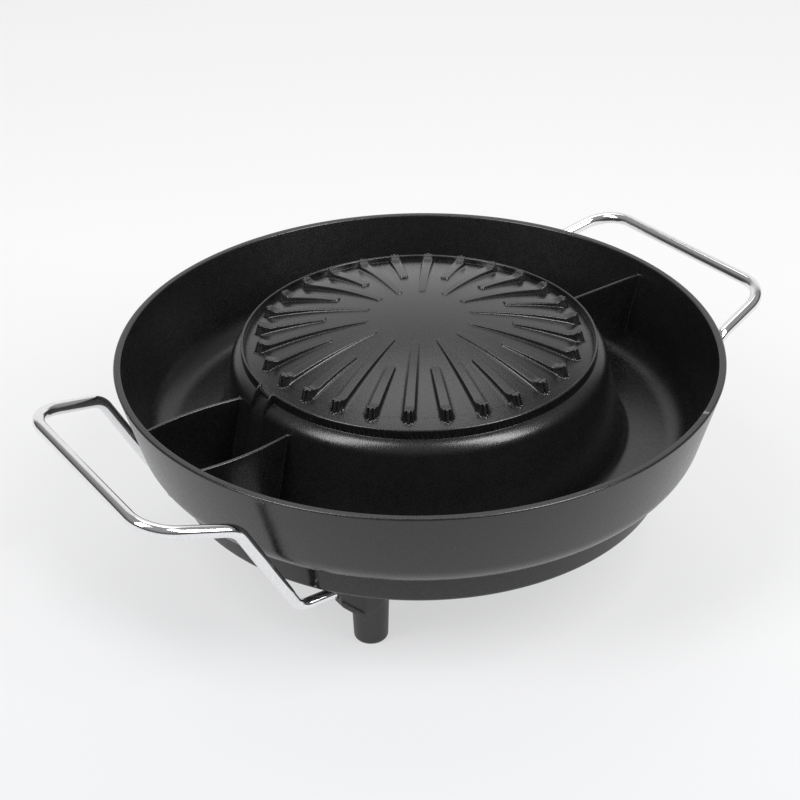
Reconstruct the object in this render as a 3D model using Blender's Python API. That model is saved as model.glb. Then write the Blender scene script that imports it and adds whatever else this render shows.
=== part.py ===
"""Electric hot pot with a raised grill plate in the middle of a ring-shaped soup moat.

One coated casting holds the moat, the island and the ribbed grill plate. Under it sit a glossy
steel dish, the heating element and the inlet for a plug-in controller. Four moulded feet carry
the pot, and each pair of feet holds the two ends of a bent wire handle.

Metres, +Z up, origin on the table under the middle of the pan. +X points to the right-hand
handle, -X to the spout and the left-hand handle, and +Y to the inlet at the back.
"""

import math

import bmesh
import bpy
from mathutils import Matrix, Vector

# Clearances and cutters
GAP = 0.0003
HOLE_CLEARANCE = 0.0003
OVERRUN = 0.002
EMBED = 0.002

# Facets
TURN_SEGMENTS = 56
LEG_SEGMENTS = 24
SMALL_SEGMENTS = 12
TUBE_SIDES = 8
LOOP_STEPS = 44
ARC_STEP = math.radians(26)
SHARP_ANGLE = math.radians(35)

# Stack of pieces from the table up to the pan
FOOT_HEIGHT = 0.0490
DISH_SHEET = 0.001
SPACER_HEIGHT = 0.0022
REFLECTOR_SHEET = 0.0008
BOSS_LENGTH = 0.0152
FLOOR_THICKNESS = 0.004
MOAT_DEPTH = 0.0572

# Pan wall and moat
RIM_RADIUS = 0.190
RIM_WIDTH = 0.0047
WALL_SLOPE = math.radians(15.5)
CORNER_RADIUS = 0.0246
MOAT_FILLET = CORNER_RADIUS - RIM_WIDTH

# Island and its lip
MOAT_SPAN = 0.0737
ISLAND_DRAFT = math.radians(12.2)
ISLAND_WALL = 0.004
ISLAND_FILLET = 0.005
SHOULDER_SLOPE = math.radians(20)
SHOULDER_RADIUS = 0.011
SHOULDER_THICKNESS = 0.006
LEDGE_RISE = 0.0013
LEDGE_WIDTH = 0.0054
LIP_WIDTH = 0.0018
LIP_HEIGHT = 0.0061

# Crowned grill plate, which reaches out to the lip
PLATE_DROP = 0.0037
CROWN_RADIUS = 0.319
PLATE_THICKNESS = 0.005

# Ribs, low along the plate and swept up to a post at the end
RIB_COUNT = 28
RIB_TURN = math.radians(-0.9)
LONG_RIB_SHARE = 0.351
SHORT_RIB_SHARE = 0.636
LONG_RIB_RISE = 0.0006
SHORT_RIB_RISE = 0.0011
RIB_HEIGHT = 0.0029
RIB_START_WIDTH = 0.0042
RIB_WIDTH = 0.0064
RIB_DRAFT = math.radians(5.4)
RIB_ROOT = 0.0015
SWEEP_LENGTH = 0.0062
POST_INSET = 0.0085
POST_LENGTH = 0.0032
POST_HEIGHT = 0.007
POST_WIDTH = 0.0058
POST_DRAFT = math.radians(13)
FLUTE_DEPTH = 0.0021

# Spout
SPOUT_WIDTH = 0.0126
SPOUT_TURN = math.radians(-1.2)
SPOUT_SILL = 0.0005
SPOUT_SLOPE = math.radians(56)
CHEEK_THICKNESS = 0.002
CHEEK_LENGTH = 0.0052
CHEEK_FALL = 0.0042

# Dividers in the moat
DIVIDER_DROP = 0.0075
DIVIDER_THICKNESS = 0.0022
DIVIDER_TURN = math.radians(0.5)
CELL_INNER_HALF = 0.0258
CELL_MIDDLE_HALF = 0.0299
CELL_OUTER_HALF = 0.0272

# Base dish and reflector
DISH_INSET = 0.033
DISH_TAPER = 0.0008
DISH_CORNER = 0.003
REFLECTOR_INSET = 0.019

# Feet
FOOT_OUTSET = 0.0007
FOOT_SPREAD = 0.0849
HANDLE_LEAN = math.radians(2)
LEG_TOP_RADIUS = 0.0120
LEG_LOW_RADIUS = 0.0103
LEG_ROUNDING = 0.0025
ARM_LENGTH = 0.0242
ARM_WIDTH = 0.016
ARM_UNDER_ROD = 0.0024
ARM_SLANT = 0.0167
ARM_ROUNDING = 0.003

# Handles: how far the rod's corners stand from the dish, the rim and each other
ROD_RADIUS = 0.004
ROD_INSERT = 0.0180
ROD_DROP = 0.0027
LOW_BEND_STAND = 0.0108
LOW_BEND_RADIUS = 0.011
HIGH_BEND_STAND = 0.0098
HIGH_BEND_DROP = 0.0192
HIGH_BEND_RADIUS = 0.015
GRIP_DEPTH = 0.0514
GRIP_NARROWING = 0.0089
GRIP_DROP = 0.0066
GRIP_BEND_RADIUS = 0.024

# Foot and handle screws
FOOT_SCREW_COLUMN = 0.0199
FOOT_SCREW_RADIUS = 0.002
FOOT_SCREW_HEAD = 0.0035
FOOT_SCREW_GRIP = 0.011
BOSS_RADIUS = 0.007
SPACER_RADIUS = 0.0055
SCREW_HEAD_HEIGHT = 0.0022
SLOT_WIDTH = 0.0009
SLOT_DEPTH = 0.0009
HANDLE_SCREW_PLACE = 0.0092
HANDLE_SCREW_RADIUS = 0.0016
HANDLE_SCREW_HEAD = 0.003
HANDLE_SCREW_LENGTH = 0.007
SOCKET_FLOOR = 0.0022

# Heating element and its clips
ELEMENT_RADIUS = 0.0035
ELEMENT_INSET = 0.0171
ELEMENT_BEND = 0.012
CLIP_COUNT = 4
CLIP_SHEET = 0.0012
CLIP_CLEARANCE = 0.0006
CLIP_WIDTH = 0.010
CLIP_SCREW_PLACE = 0.014
CLIP_TAB_END = 0.0055
CLIP_BOSS_RADIUS = 0.004
CLIP_SCREW_RADIUS = 0.0015
CLIP_SCREW_HEAD = 0.0028
CLIP_SCREW_GRIP = 0.005

# Inlet
PIN_SPREAD = 0.016
PIN_RADIUS = 0.0024
PIN_INSERT = 0.005
PIN_REACH = 0.0165
INSULATOR_RADIUS = 0.0045
INSULATOR_COLLAR = 0.0056
INSULATOR_COLLAR_LENGTH = 0.004
INSULATOR_STAND = 0.002
SLEEVE_RADIUS = 0.0035
SLEEVE_WALL = 0.0006
SLEEVE_LENGTH = 0.052
SLEEVE_STAND = 0.003
PROBE_BOSS_INSET = 0.019
PROBE_BOSS_LENGTH = 0.012
PROBE_BOSS_WALL = 0.0015
INLET_PLATE_HALF_WIDTH = 0.036
INLET_PLATE_MARGIN = 0.0007
INLET_PLATE_SHEET = 0.0016
SHROUD_HALF_WIDTH = 0.034
SHROUD_MARGIN = 0.0012
SHROUD_ROUNDING = 0.004
SHROUD_WALL = 0.0026
SHROUD_BACK = 0.004
SHROUD_DEPTH = 0.023
INLET_SCREW_SPREAD = 0.0262
INLET_SCREW_RADIUS = 0.0015
INLET_SCREW_HEAD = 0.003

# Heights and radii that follow from the sizes above
DISH_LOW = FOOT_HEIGHT + GAP
SPACER_LOW = DISH_LOW + DISH_SHEET + GAP
REFLECTOR_LOW = SPACER_LOW + SPACER_HEIGHT + GAP
BOSS_LOW = REFLECTOR_LOW + REFLECTOR_SHEET + GAP
UNDERSIDE = BOSS_LOW + BOSS_LENGTH
MOAT_FLOOR = UNDERSIDE + FLOOR_THICKNESS
RIM_HEIGHT = MOAT_FLOOR + MOAT_DEPTH
LEDGE_HEIGHT = RIM_HEIGHT + LEDGE_RISE
LIP_TOP = LEDGE_HEIGHT + LIP_HEIGHT
PLATE_EDGE_HEIGHT = LIP_TOP - PLATE_DROP
ISLAND_RADIUS = RIM_RADIUS - MOAT_SPAN
LIP_RADIUS = ISLAND_RADIUS - LEDGE_WIDTH
CROWN_EDGE = LIP_RADIUS - LIP_WIDTH
CROWN_CENTRE = PLATE_EDGE_HEIGHT - math.sqrt(CROWN_RADIUS**2 - CROWN_EDGE**2)
POST_RADIUS = CROWN_EDGE - POST_INSET
SWEEP_END = POST_RADIUS - POST_LENGTH
SWEEP_START = SWEEP_END - SWEEP_LENGTH
LONG_RIB_START = SWEEP_START * LONG_RIB_SHARE
SHORT_RIB_START = SWEEP_START * SHORT_RIB_SHARE
ELEMENT_RING = CROWN_EDGE - ELEMENT_INSET
DIVIDER_TOP = RIM_HEIGHT - DIVIDER_DROP
SKIRT_TOP = UNDERSIDE - GAP
DISH_RADIUS = RIM_RADIUS - DISH_INSET
DISH_LOW_RADIUS = DISH_RADIUS - DISH_TAPER
REFLECTOR_RADIUS = DISH_RADIUS - REFLECTOR_INSET
PROBE_BOSS_PLACE = DISH_RADIUS - PROBE_BOSS_INSET
INLET_HEIGHT = (DISH_LOW + SKIRT_TOP) / 2
SHROUD_HALF_HEIGHT = (SKIRT_TOP - DISH_LOW) / 2 - SHROUD_MARGIN
INLET_PLATE_HALF_HEIGHT = (SKIRT_TOP - DISH_LOW) / 2 - DISH_CORNER - INLET_PLATE_MARGIN
FOOT_HOLE = FOOT_SCREW_RADIUS + HOLE_CLEARANCE
FOOT_SCREW_SEAT = FOOT_HEIGHT - FOOT_SCREW_COLUMN
ROD_HEIGHT = FOOT_HEIGHT - ROD_RADIUS - ROD_DROP
ARM_TIP_HEIGHT = ROD_HEIGHT - ROD_RADIUS - ARM_UNDER_ROD
ARM_ROOT_HEIGHT = ARM_TIP_HEIGHT - ARM_SLANT


def clear_scene():
    for obj in list(bpy.data.objects):
        bpy.data.objects.remove(obj, do_unlink=True)


def material(name, colour, roughness, metallic=0.0):
    made = bpy.data.materials.new(name)
    made.use_nodes = True
    shader = made.node_tree.nodes["Principled BSDF"]
    shader.inputs["Base Color"].default_value = (*colour, 1.0)
    shader.inputs["Roughness"].default_value = roughness
    shader.inputs["Metallic"].default_value = metallic
    made.diffuse_color = (*colour, 1.0)
    return made


def solid(name, points, faces):
    """A new object from points and faces, with every face turned to point outward."""
    mesh = bpy.data.meshes.new(name)
    mesh.from_pydata(points, [], faces)
    work = bmesh.new()
    work.from_mesh(mesh)
    bmesh.ops.recalc_face_normals(work, faces=work.faces)
    work.to_mesh(mesh)
    work.free()
    obj = bpy.data.objects.new(name, mesh)
    bpy.context.scene.collection.objects.link(obj)
    return obj


def arc(centre, radius, start, end):
    """Points on an arc in a plane, both ends included."""
    steps = max(1, math.ceil(abs(end - start) / ARC_STEP - 1e-6))
    angles = [start + (end - start) * i / steps for i in range(steps + 1)]
    return [(centre[0] + radius * math.cos(a), centre[1] + radius * math.sin(a)) for a in angles]


def rounded(corners, closed=True):
    """The outline through (x, y, radius) corners, each rounded by its radius."""
    outline = []
    for i, (x, y, radius) in enumerate(corners):
        corner = Vector((x, y))
        if radius == 0 or (not closed and i in (0, len(corners) - 1)):
            outline.append((x, y))
            continue
        before = (Vector(corners[i - 1][:2]) - corner).normalized()
        after = (Vector(corners[(i + 1) % len(corners)][:2]) - corner).normalized()
        half = before.angle(after) / 2
        centre = corner + (before + after).normalized() * radius / math.sin(half)
        first = corner + before * radius / math.tan(half) - centre
        last = corner + after * radius / math.tan(half) - centre
        start = math.atan2(first.y, first.x)
        turn = math.remainder(math.atan2(last.y, last.x) - start, math.tau)
        outline.extend(arc(centre, radius, start, start + turn))
    return outline


def turned(name, section, segments=TURN_SEGMENTS):
    """A solid turned about Z from a closed (radius, height) section."""
    points = []
    rings = []
    for radius, height in section:
        count = segments if radius > 0 else 1
        rings.append(range(len(points), len(points) + count))
        for i in range(count):
            angle = math.tau * i / segments
            points.append((radius * math.cos(angle), radius * math.sin(angle), height))
    faces = []
    for ring, following in zip(rings, rings[1:] + rings[:1]):
        for i in range(segments):
            quad = []
            for index in (ring[i % len(ring)], ring[(i + 1) % len(ring)],
                          following[(i + 1) % len(following)], following[i % len(following)]):
                if index not in quad:
                    quad.append(index)
            if len(quad) > 2:
                faces.append(quad)
    return solid(name, points, faces)


def slab(name, outline, width):
    """An outline in the XZ plane, made a solid of this width, centred on Y."""
    count = len(outline)
    points = [(x, side * width / 2, z) for side in (-1, 1) for x, z in outline]
    faces = [range(count), range(2 * count - 1, count - 1, -1)]
    faces += [(i, (i + 1) % count, count + (i + 1) % count, count + i) for i in range(count)]
    return solid(name, points, [list(face) for face in faces])


def pillar(name, outline, low, high):
    """An outline in the XY plane, made a solid between two heights."""
    count = len(outline)
    points = [(x, y, z) for z in (low, high) for x, y in outline]
    faces = [range(count), range(2 * count - 1, count - 1, -1)]
    faces += [(i, (i + 1) % count, count + (i + 1) % count, count + i) for i in range(count)]
    return solid(name, points, [list(face) for face in faces])


def cylinder(name, radius, low, high, segments=SMALL_SEGMENTS):
    return turned(name, [(0, low), (radius, low), (radius, high), (0, high)], segments)


def along_y(obj, x, z):
    """Turns a solid made about Z so that its heights run along +Y, at this x and z."""
    obj.data.transform(Matrix.Translation((x, 0, z)) @ Matrix.Rotation(-math.pi / 2, 4, "X"))
    return obj


def moved(obj, matrix):
    obj.data.transform(matrix)
    return obj


def joined(name, objects):
    """One object from several that don't touch."""
    work = bmesh.new()
    for obj in objects:
        work.from_mesh(obj.data)
        bpy.data.objects.remove(obj)
    mesh = bpy.data.meshes.new(name)
    work.to_mesh(mesh)
    work.free()
    made = bpy.data.objects.new(name, mesh)
    bpy.context.scene.collection.objects.link(made)
    return made


def combine(target, operation, *tools):
    """Unites, cuts or intersects the target with the tools, which are used up."""
    tool = joined("tool", tools)
    modifier = target.modifiers.new("combine", "BOOLEAN")
    modifier.operation = operation
    modifier.solver = "EXACT"
    modifier.object = tool
    graph = bpy.context.evaluated_depsgraph_get()
    target.data = bpy.data.meshes.new_from_object(target.evaluated_get(graph))
    target.modifiers.clear()
    bpy.data.objects.remove(tool)
    return target


def finish(obj, surface):
    obj.data.materials.clear()
    obj.data.materials.append(surface)
    obj.data.polygons.foreach_set("material_index", [0] * len(obj.data.polygons))
    obj.data.shade_smooth()
    obj.data.set_sharp_from_angle(angle=SHARP_ANGLE)
    return obj


def copies(first, name_places):
    """Places the first object, and copies that share its mesh, at the named matrices."""
    for i, (name, place) in enumerate(name_places):
        obj = first if i == 0 else bpy.data.objects.new(name, first.data)
        if i:
            bpy.context.scene.collection.objects.link(obj)
        obj.name = name
        obj.matrix_world = place


def bent_path(corners):
    """A rod's centre line through (point, bend radius) corners."""
    path = [Vector(corners[0][0])]
    for (before, _), (corner, radius), (after, _) in zip(corners, corners[1:], corners[2:]):
        corner = Vector(corner)
        inward = (Vector(before) - corner).normalized()
        outward = (Vector(after) - corner).normalized()
        half = inward.angle(outward) / 2
        centre = corner + (inward + outward).normalized() * radius / math.sin(half)
        first = corner + inward * radius / math.tan(half) - centre
        last = corner + outward * radius / math.tan(half) - centre
        turn = math.pi - 2 * half
        steps = math.ceil(turn / ARC_STEP)
        for i in range(steps + 1):
            share = turn * i / steps
            weight = math.sin(turn - share) / math.sin(turn), math.sin(share) / math.sin(turn)
            path.append(centre + first * weight[0] + last * weight[1])
    path.append(Vector(corners[-1][0]))
    return path


def tube(name, path, radius, sides=TUBE_SIDES):
    """A round rod along a path, with flat ends."""
    tangents = []
    for i in range(len(path)):
        before = path[max(i - 1, 0)]
        after = path[min(i + 1, len(path) - 1)]
        tangents.append((after - before).normalized())
    side = tangents[0].orthogonal().normalized()
    points = []
    for i, (place, tangent) in enumerate(zip(path, tangents)):
        if i:
            side = tangents[i - 1].rotation_difference(tangent) @ side
        other = tangent.cross(side)
        for j in range(sides):
            angle = math.tau * j / sides
            points.append(place + (side * math.cos(angle) + other * math.sin(angle)) * radius)
    faces = [list(range(sides)), list(range(len(points) - sides, len(points)))]
    for i in range(len(path) - 1):
        for j in range(sides):
            k = (j + 1) % sides
            faces.append([i * sides + j, i * sides + k, (i + 1) * sides + k, (i + 1) * sides + j])
    return solid(name, points, faces)


def island_wall(height):
    """Radius of the island's wall, carried on straight, at this height."""
    return ISLAND_RADIUS + (LEDGE_HEIGHT - height) * math.tan(ISLAND_DRAFT)


def island_hollow(height):
    return island_wall(height) - ISLAND_WALL / math.cos(ISLAND_DRAFT)


def reach_at_spread(radius):
    """How far out along a handle's frame a circle is, on the line of the rod."""
    return math.sqrt(radius**2 - FOOT_SPREAD**2)


def foot_reach():
    """The feet stand where the island's wall meets the moat's floor, on the line of the rod."""
    return reach_at_spread(island_hollow(UNDERSIDE) + FOOT_OUTSET)


def sides():
    """The matrix of each handle's own frame, in which the handle points along +X."""
    return {
        "left": Matrix.Rotation(math.pi - HANDLE_LEAN, 4, "Z"),
        "right": Matrix.Rotation(HANDLE_LEAN, 4, "Z"),
    }


def foot_places():
    """The name ending and matrix of each foot: its leg at the matrix's origin, its arm along +X."""
    places = []
    for side, frame in sides().items():
        for hand in (-1, 1):
            place = frame @ Matrix.Translation((foot_reach(), hand * FOOT_SPREAD, 0))
            row = "rear" if place.translation.y > 0 else "front"
            places.append((f"{row}_{side}", place))
    return places


def named(kind):
    return [(f"{kind}_{ending}", place) for ending, place in foot_places()]


def outer_wall(height):
    """Radius of the pan's outer wall, carried on straight, at this height."""
    return RIM_RADIUS - (RIM_HEIGHT - height) * math.tan(WALL_SLOPE)


def inner_wall(height):
    return outer_wall(height) - RIM_WIDTH


def crown(radius, depth=0.0):
    """Height of the crowned plate at a radius, or of the sphere this far under it."""
    return CROWN_CENTRE + math.sqrt((CROWN_RADIUS - depth) ** 2 - radius**2)


def crown_arc(edge, depth, steps=4):
    """Section points of the crown from the axis out to an edge."""
    return [(edge * i / steps, crown(edge * i / steps, depth)) for i in range(steps + 1)]


def pan_section():
    """Half section of the casting: over the top, down the outside and back underneath."""
    under_shoulder = LEDGE_HEIGHT - SHOULDER_THICKNESS
    hollow_edge = CROWN_EDGE - SHOULDER_THICKNESS
    shoulder_run = LEDGE_WIDTH / (1 - math.tan(SHOULDER_SLOPE) * math.tan(ISLAND_DRAFT))
    shoulder_corner = LEDGE_HEIGHT - shoulder_run * math.tan(SHOULDER_SLOPE)
    corners = [
        (CROWN_EDGE, LIP_TOP, 0),
        (LIP_RADIUS, LIP_TOP, 0),
        (LIP_RADIUS, LEDGE_HEIGHT, 0),
        (island_wall(shoulder_corner), shoulder_corner, SHOULDER_RADIUS),
        (island_wall(MOAT_FLOOR), MOAT_FLOOR, ISLAND_FILLET),
        (inner_wall(MOAT_FLOOR), MOAT_FLOOR, MOAT_FILLET),
        (inner_wall(RIM_HEIGHT), RIM_HEIGHT, 0),
        (RIM_RADIUS, RIM_HEIGHT, 0),
        (outer_wall(UNDERSIDE), UNDERSIDE, CORNER_RADIUS),
        (island_hollow(UNDERSIDE), UNDERSIDE, 0),
        (island_hollow(under_shoulder), under_shoulder, ISLAND_FILLET),
        (hollow_edge, crown(hollow_edge, PLATE_THICKNESS), 0),
    ]
    top = crown_arc(CROWN_EDGE, 0)
    underneath = crown_arc(hollow_edge, PLATE_THICKNESS)
    return top + rounded(corners, closed=False)[:-1] + underneath[::-1]


def rib_top(radius, start, rise):
    """Height of a rib's top: low above the plate, then swept up to its post's flat top."""
    if radius <= SWEEP_START:
        share = max(0, (radius - start) / (SWEEP_START - start))
        return crown(max(radius, start)) + rise + (RIB_HEIGHT - rise) * share
    low = crown(SWEEP_START) + RIB_HEIGHT
    high = crown(POST_RADIUS) + POST_HEIGHT
    return low + (high - low) * min(1, (radius - SWEEP_START) / SWEEP_LENGTH) ** 2


def rib_half_width(radius):
    if radius <= SWEEP_START:
        share = (radius - LONG_RIB_START) / (SWEEP_START - LONG_RIB_START)
        return (RIB_START_WIDTH + (RIB_WIDTH - RIB_START_WIDTH) * share) / 2
    share = min(1, (radius - SWEEP_START) / SWEEP_LENGTH)
    return (RIB_WIDTH + (POST_WIDTH - RIB_WIDTH) * share) / 2


def rib(start, rise):
    """One rib along +X, from its start, this much above the plate, to its fluted post."""
    nose = rib_half_width(start)
    post = rib_half_width(POST_RADIUS)
    nose_shares = ((0, 0.5), (0.4, 0.9), (1.2, 1.0))
    run_shares = (0.35, 0.7, 1.0)
    flute_shares = ((1.0, 1.0), (0.35, 0.72), (0.75, 0.45), (0.0, 0.16))
    side = [(start + along * nose, across * nose) for along, across in nose_shares]
    for share in run_shares:
        radius = start + (SWEEP_START - start) * share
        side.append((radius, rib_half_width(radius)))
    middle = SWEEP_START + SWEEP_LENGTH / 2
    side.append((middle, rib_half_width(middle)))
    side.append((SWEEP_END, post))
    side += [(POST_RADIUS - depth * FLUTE_DEPTH, across * post) for depth, across in flute_shares]
    points = []
    for hand in (1, -1):
        for radius, across in side:
            points.append((radius, hand * across, rib_top(radius, start, rise)))
    for hand in (1, -1):
        for i, (radius, across) in enumerate(side):
            out_there = max(0, (radius - SWEEP_START) / (POST_RADIUS - SWEEP_START))
            draft = RIB_DRAFT + (POST_DRAFT - RIB_DRAFT) * out_there
            depth = rib_top(radius, start, rise) - crown(radius) + RIB_ROOT
            foot = radius + depth * math.tan(POST_DRAFT) * min(1, out_there)
            if i < len(nose_shares) - 1:
                foot = radius - depth * math.tan(RIB_DRAFT)
            half = rib_half_width(radius)
            spread = (half + depth * math.tan(draft)) / half
            points.append((foot, hand * across * spread, crown(min(foot, CROWN_EDGE)) - RIB_ROOT))
    count = len(side)
    faces = []
    for i in range(count - 1):
        for low in (0, 2 * count):
            faces.append([low + i, low + i + 1, low + count + i + 1, low + count + i])
        for row in (0, count):
            faces.append([row + i, row + i + 1, 2 * count + row + i + 1, 2 * count + row + i])
    for i in (0, count - 1):
        faces.append([i, count + i, 3 * count + i, 2 * count + i])
    return solid("rib", points, faces)


def ribs():
    made = []
    for i in range(RIB_COUNT):
        size = (SHORT_RIB_START, SHORT_RIB_RISE) if i % 2 else (LONG_RIB_START, LONG_RIB_RISE)
        turn = RIB_TURN + math.tau * i / RIB_COUNT
        made.append(moved(rib(*size), Matrix.Rotation(turn, 4, "Z")))
    return made


def dividers():
    """Three upright walls across the moat, their edges sunk in the metal round it."""
    inner = island_wall(DIVIDER_TOP) - EMBED
    outer = outer_wall(DIVIDER_TOP) - EMBED
    half = DIVIDER_THICKNESS / 2
    straight = [(inner, -half), (outer, -half), (outer, half), (inner, half)]
    steps = 6
    curve = []
    for i in range(steps + 1):
        share = 2 * i / steps - 1
        across = CELL_MIDDLE_HALF + share * (CELL_OUTER_HALF - CELL_INNER_HALF) / 2
        across -= share**2 * (CELL_MIDDLE_HALF - (CELL_OUTER_HALF + CELL_INNER_HALF) / 2)
        curve.append((-(inner + (outer - inner) * i / steps), across))
    made = [straight]
    for hand in (-1, 1):
        near = [(x, hand * (y - half)) for x, y in curve]
        far = [(x, hand * (y + half)) for x, y in curve]
        made.append(near + far[::-1])
    strips = [pillar("divider", outline, UNDERSIDE, DIVIDER_TOP) for outline in made]
    sunk = MOAT_FLOOR - EMBED
    filler = turned("filler", rounded([
        (inner, DIVIDER_TOP + OVERRUN, 0),
        (inner, DIVIDER_TOP, 0),
        (island_wall(MOAT_FLOOR) - EMBED, MOAT_FLOOR, 0),
        (island_wall(MOAT_FLOOR), sunk, 0),
        (inner_wall(sunk) + EMBED, sunk, MOAT_FILLET),
        (inner_wall(DIVIDER_TOP) + EMBED, DIVIDER_TOP, 0),
        (inner_wall(DIVIDER_TOP) + EMBED, DIVIDER_TOP + OVERRUN, 0),
    ]))
    walls = moved(joined("dividers", strips), Matrix.Rotation(DIVIDER_TURN, 4, "Z"))
    return combine(walls, "INTERSECT", filler)


def spout_cheeks():
    """The two ends of the lip, turned outward beside the spout."""
    inner = LIP_RADIUS - LIP_WIDTH / 2
    end = LIP_RADIUS + CHEEK_LENGTH
    outline = [
        (inner, LEDGE_HEIGHT - EMBED),
        (inner, LIP_TOP),
        (LIP_RADIUS, LIP_TOP),
        (end, LIP_TOP - CHEEK_FALL),
        (end, LEDGE_HEIGHT - SHOULDER_THICKNESS / 2),
        (LIP_RADIUS, LEDGE_HEIGHT - SHOULDER_THICKNESS / 2),
    ]
    width = CHEEK_THICKNESS + EMBED
    turn = Matrix.Rotation(math.pi + SPOUT_TURN, 4, "Z")
    for hand in (-1, 1):
        place = Matrix.Translation((0, hand * (SPOUT_WIDTH + CHEEK_THICKNESS - EMBED) / 2, 0))
        yield moved(slab("cheek", outline, width), turn @ place)


def spout_cut():
    """The gap in the lip and the chute down over the shoulder."""
    sill = PLATE_EDGE_HEIGHT + SPOUT_SILL
    inner = CROWN_EDGE - LIP_WIDTH
    end = island_wall(UNDERSIDE)
    top = LIP_TOP + OVERRUN
    low = sill - (end - CROWN_EDGE) * math.tan(SPOUT_SLOPE)
    outline = [(inner, sill), (CROWN_EDGE, sill), (end, low), (end, top), (inner, top)]
    turn = Matrix.Rotation(math.pi + SPOUT_TURN, 4, "Z")
    return moved(slab("spout", outline, SPOUT_WIDTH), turn)


def element_height():
    """Centre of the element's ring, just clear of the plate's underside."""
    reach = CROWN_RADIUS - PLATE_THICKNESS - GAP - ELEMENT_RADIUS
    return CROWN_CENTRE + math.sqrt(reach**2 - ELEMENT_RING**2)


def clip_places():
    """A matrix for each clip: X out from the axis, clear of the gap in the ring."""
    turn = math.tau / CLIP_COUNT
    return [Matrix.Rotation(turn * (i + 0.5), 4, "Z") for i in range(CLIP_COUNT)]


def cooking_pan():
    pan = turned("cooking_pan", pan_section())
    screw_radius = ELEMENT_RING - CLIP_SCREW_PLACE
    bosses = []
    holes = [spout_cut()]
    for _, place in foot_places():
        spot = Matrix.Translation(place.translation)
        bosses.append(moved(cylinder("boss", BOSS_RADIUS, BOSS_LOW, UNDERSIDE + EMBED), spot))
        deep = BOSS_LOW + FOOT_SCREW_GRIP + 2 * HOLE_CLEARANCE
        holes.append(moved(cylinder("hole", FOOT_HOLE, BOSS_LOW - OVERRUN, deep), spot))
    for frame in clip_places():
        spot = frame @ Matrix.Translation((screw_radius, 0, 0))
        top = crown(screw_radius, PLATE_THICKNESS) + EMBED
        low = element_height()
        bosses.append(moved(cylinder("boss", CLIP_BOSS_RADIUS, low, top), spot))
        deep = low + CLIP_SCREW_GRIP + 2 * HOLE_CLEARANCE
        hole = cylinder("hole", CLIP_SCREW_RADIUS + HOLE_CLEARANCE, low - OVERRUN, deep)
        holes.append(moved(hole, spot))
    bore = SLEEVE_RADIUS + HOLE_CLEARANCE
    half = bore + PROBE_BOSS_WALL
    near = PROBE_BOSS_PLACE - PROBE_BOSS_LENGTH / 2
    far = PROBE_BOSS_PLACE + PROBE_BOSS_LENGTH / 2
    base = [(-half, near), (half, near), (half, far), (-half, far)]
    bosses.append(pillar("probe_boss", base, BOSS_LOW, UNDERSIDE + EMBED))
    holes.append(along_y(cylinder("bore", bore, near - OVERRUN, far + OVERRUN), 0, INLET_HEIGHT))
    combine(pan, "UNION", *ribs(), *bosses, *spout_cheeks(), dividers())
    combine(pan, "DIFFERENCE", *holes)
    finish(pan, material("non_stick_coat", (0.03, 0.03, 0.032), 0.42))


def inlet_bores(depth_from, depth_to):
    """Cutters along Y for what passes through the inlet's walls."""
    radii = [(-PIN_SPREAD, INSULATOR_RADIUS), (PIN_SPREAD, INSULATOR_RADIUS), (0, SLEEVE_RADIUS)]
    radii += [(-INLET_SCREW_SPREAD, INLET_SCREW_RADIUS), (INLET_SCREW_SPREAD, INLET_SCREW_RADIUS)]
    for x, radius in radii:
        bore = cylinder("bore", radius + HOLE_CLEARANCE, depth_from, depth_to)
        yield along_y(bore, x, INLET_HEIGHT)


def base_dish():
    inner_top = DISH_RADIUS - DISH_SHEET
    inner_low = DISH_LOW_RADIUS - DISH_SHEET
    floor = DISH_LOW + DISH_SHEET
    dish = turned("base_dish", rounded([
        (0, DISH_LOW, 0),
        (DISH_LOW_RADIUS, DISH_LOW, DISH_CORNER),
        (DISH_RADIUS, SKIRT_TOP, 0),
        (inner_top, SKIRT_TOP, 0),
        (inner_low, floor, DISH_CORNER - DISH_SHEET),
        (0, floor, 0),
    ]))
    holes = list(inlet_bores(DISH_RADIUS - REFLECTOR_RADIUS / 2, DISH_RADIUS + OVERRUN))
    for _, place in foot_places():
        hole = cylinder("hole", FOOT_HOLE, DISH_LOW - OVERRUN, floor + OVERRUN)
        holes.append(moved(hole, Matrix.Translation(place.translation)))
    combine(dish, "DIFFERENCE", *holes)
    finish(dish, material("gloss_black_enamel", (0.02, 0.02, 0.022), 0.2))


def heat_reflector():
    top = REFLECTOR_LOW + REFLECTOR_SHEET
    sheet = cylinder("heat_reflector", REFLECTOR_RADIUS, REFLECTOR_LOW, top, TURN_SEGMENTS)
    holes = []
    for _, place in foot_places():
        hole = cylinder("hole", FOOT_HOLE, REFLECTOR_LOW - OVERRUN, top + OVERRUN)
        holes.append(moved(hole, Matrix.Translation(place.translation)))
    combine(sheet, "DIFFERENCE", *holes)
    finish(sheet, material("bright_aluminium", (0.7, 0.7, 0.7), 0.3, 1.0))


def spacers():
    top = SPACER_LOW + SPACER_HEIGHT
    ring = turned("spacer", [
        (FOOT_HOLE, SPACER_LOW), (SPACER_RADIUS, SPACER_LOW), (SPACER_RADIUS, top), (FOOT_HOLE, top),
    ], SMALL_SEGMENTS)
    finish(ring, material("zinc_spacer", (0.5, 0.5, 0.52), 0.35, 1.0))
    copies(ring, named("spacer"))


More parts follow.
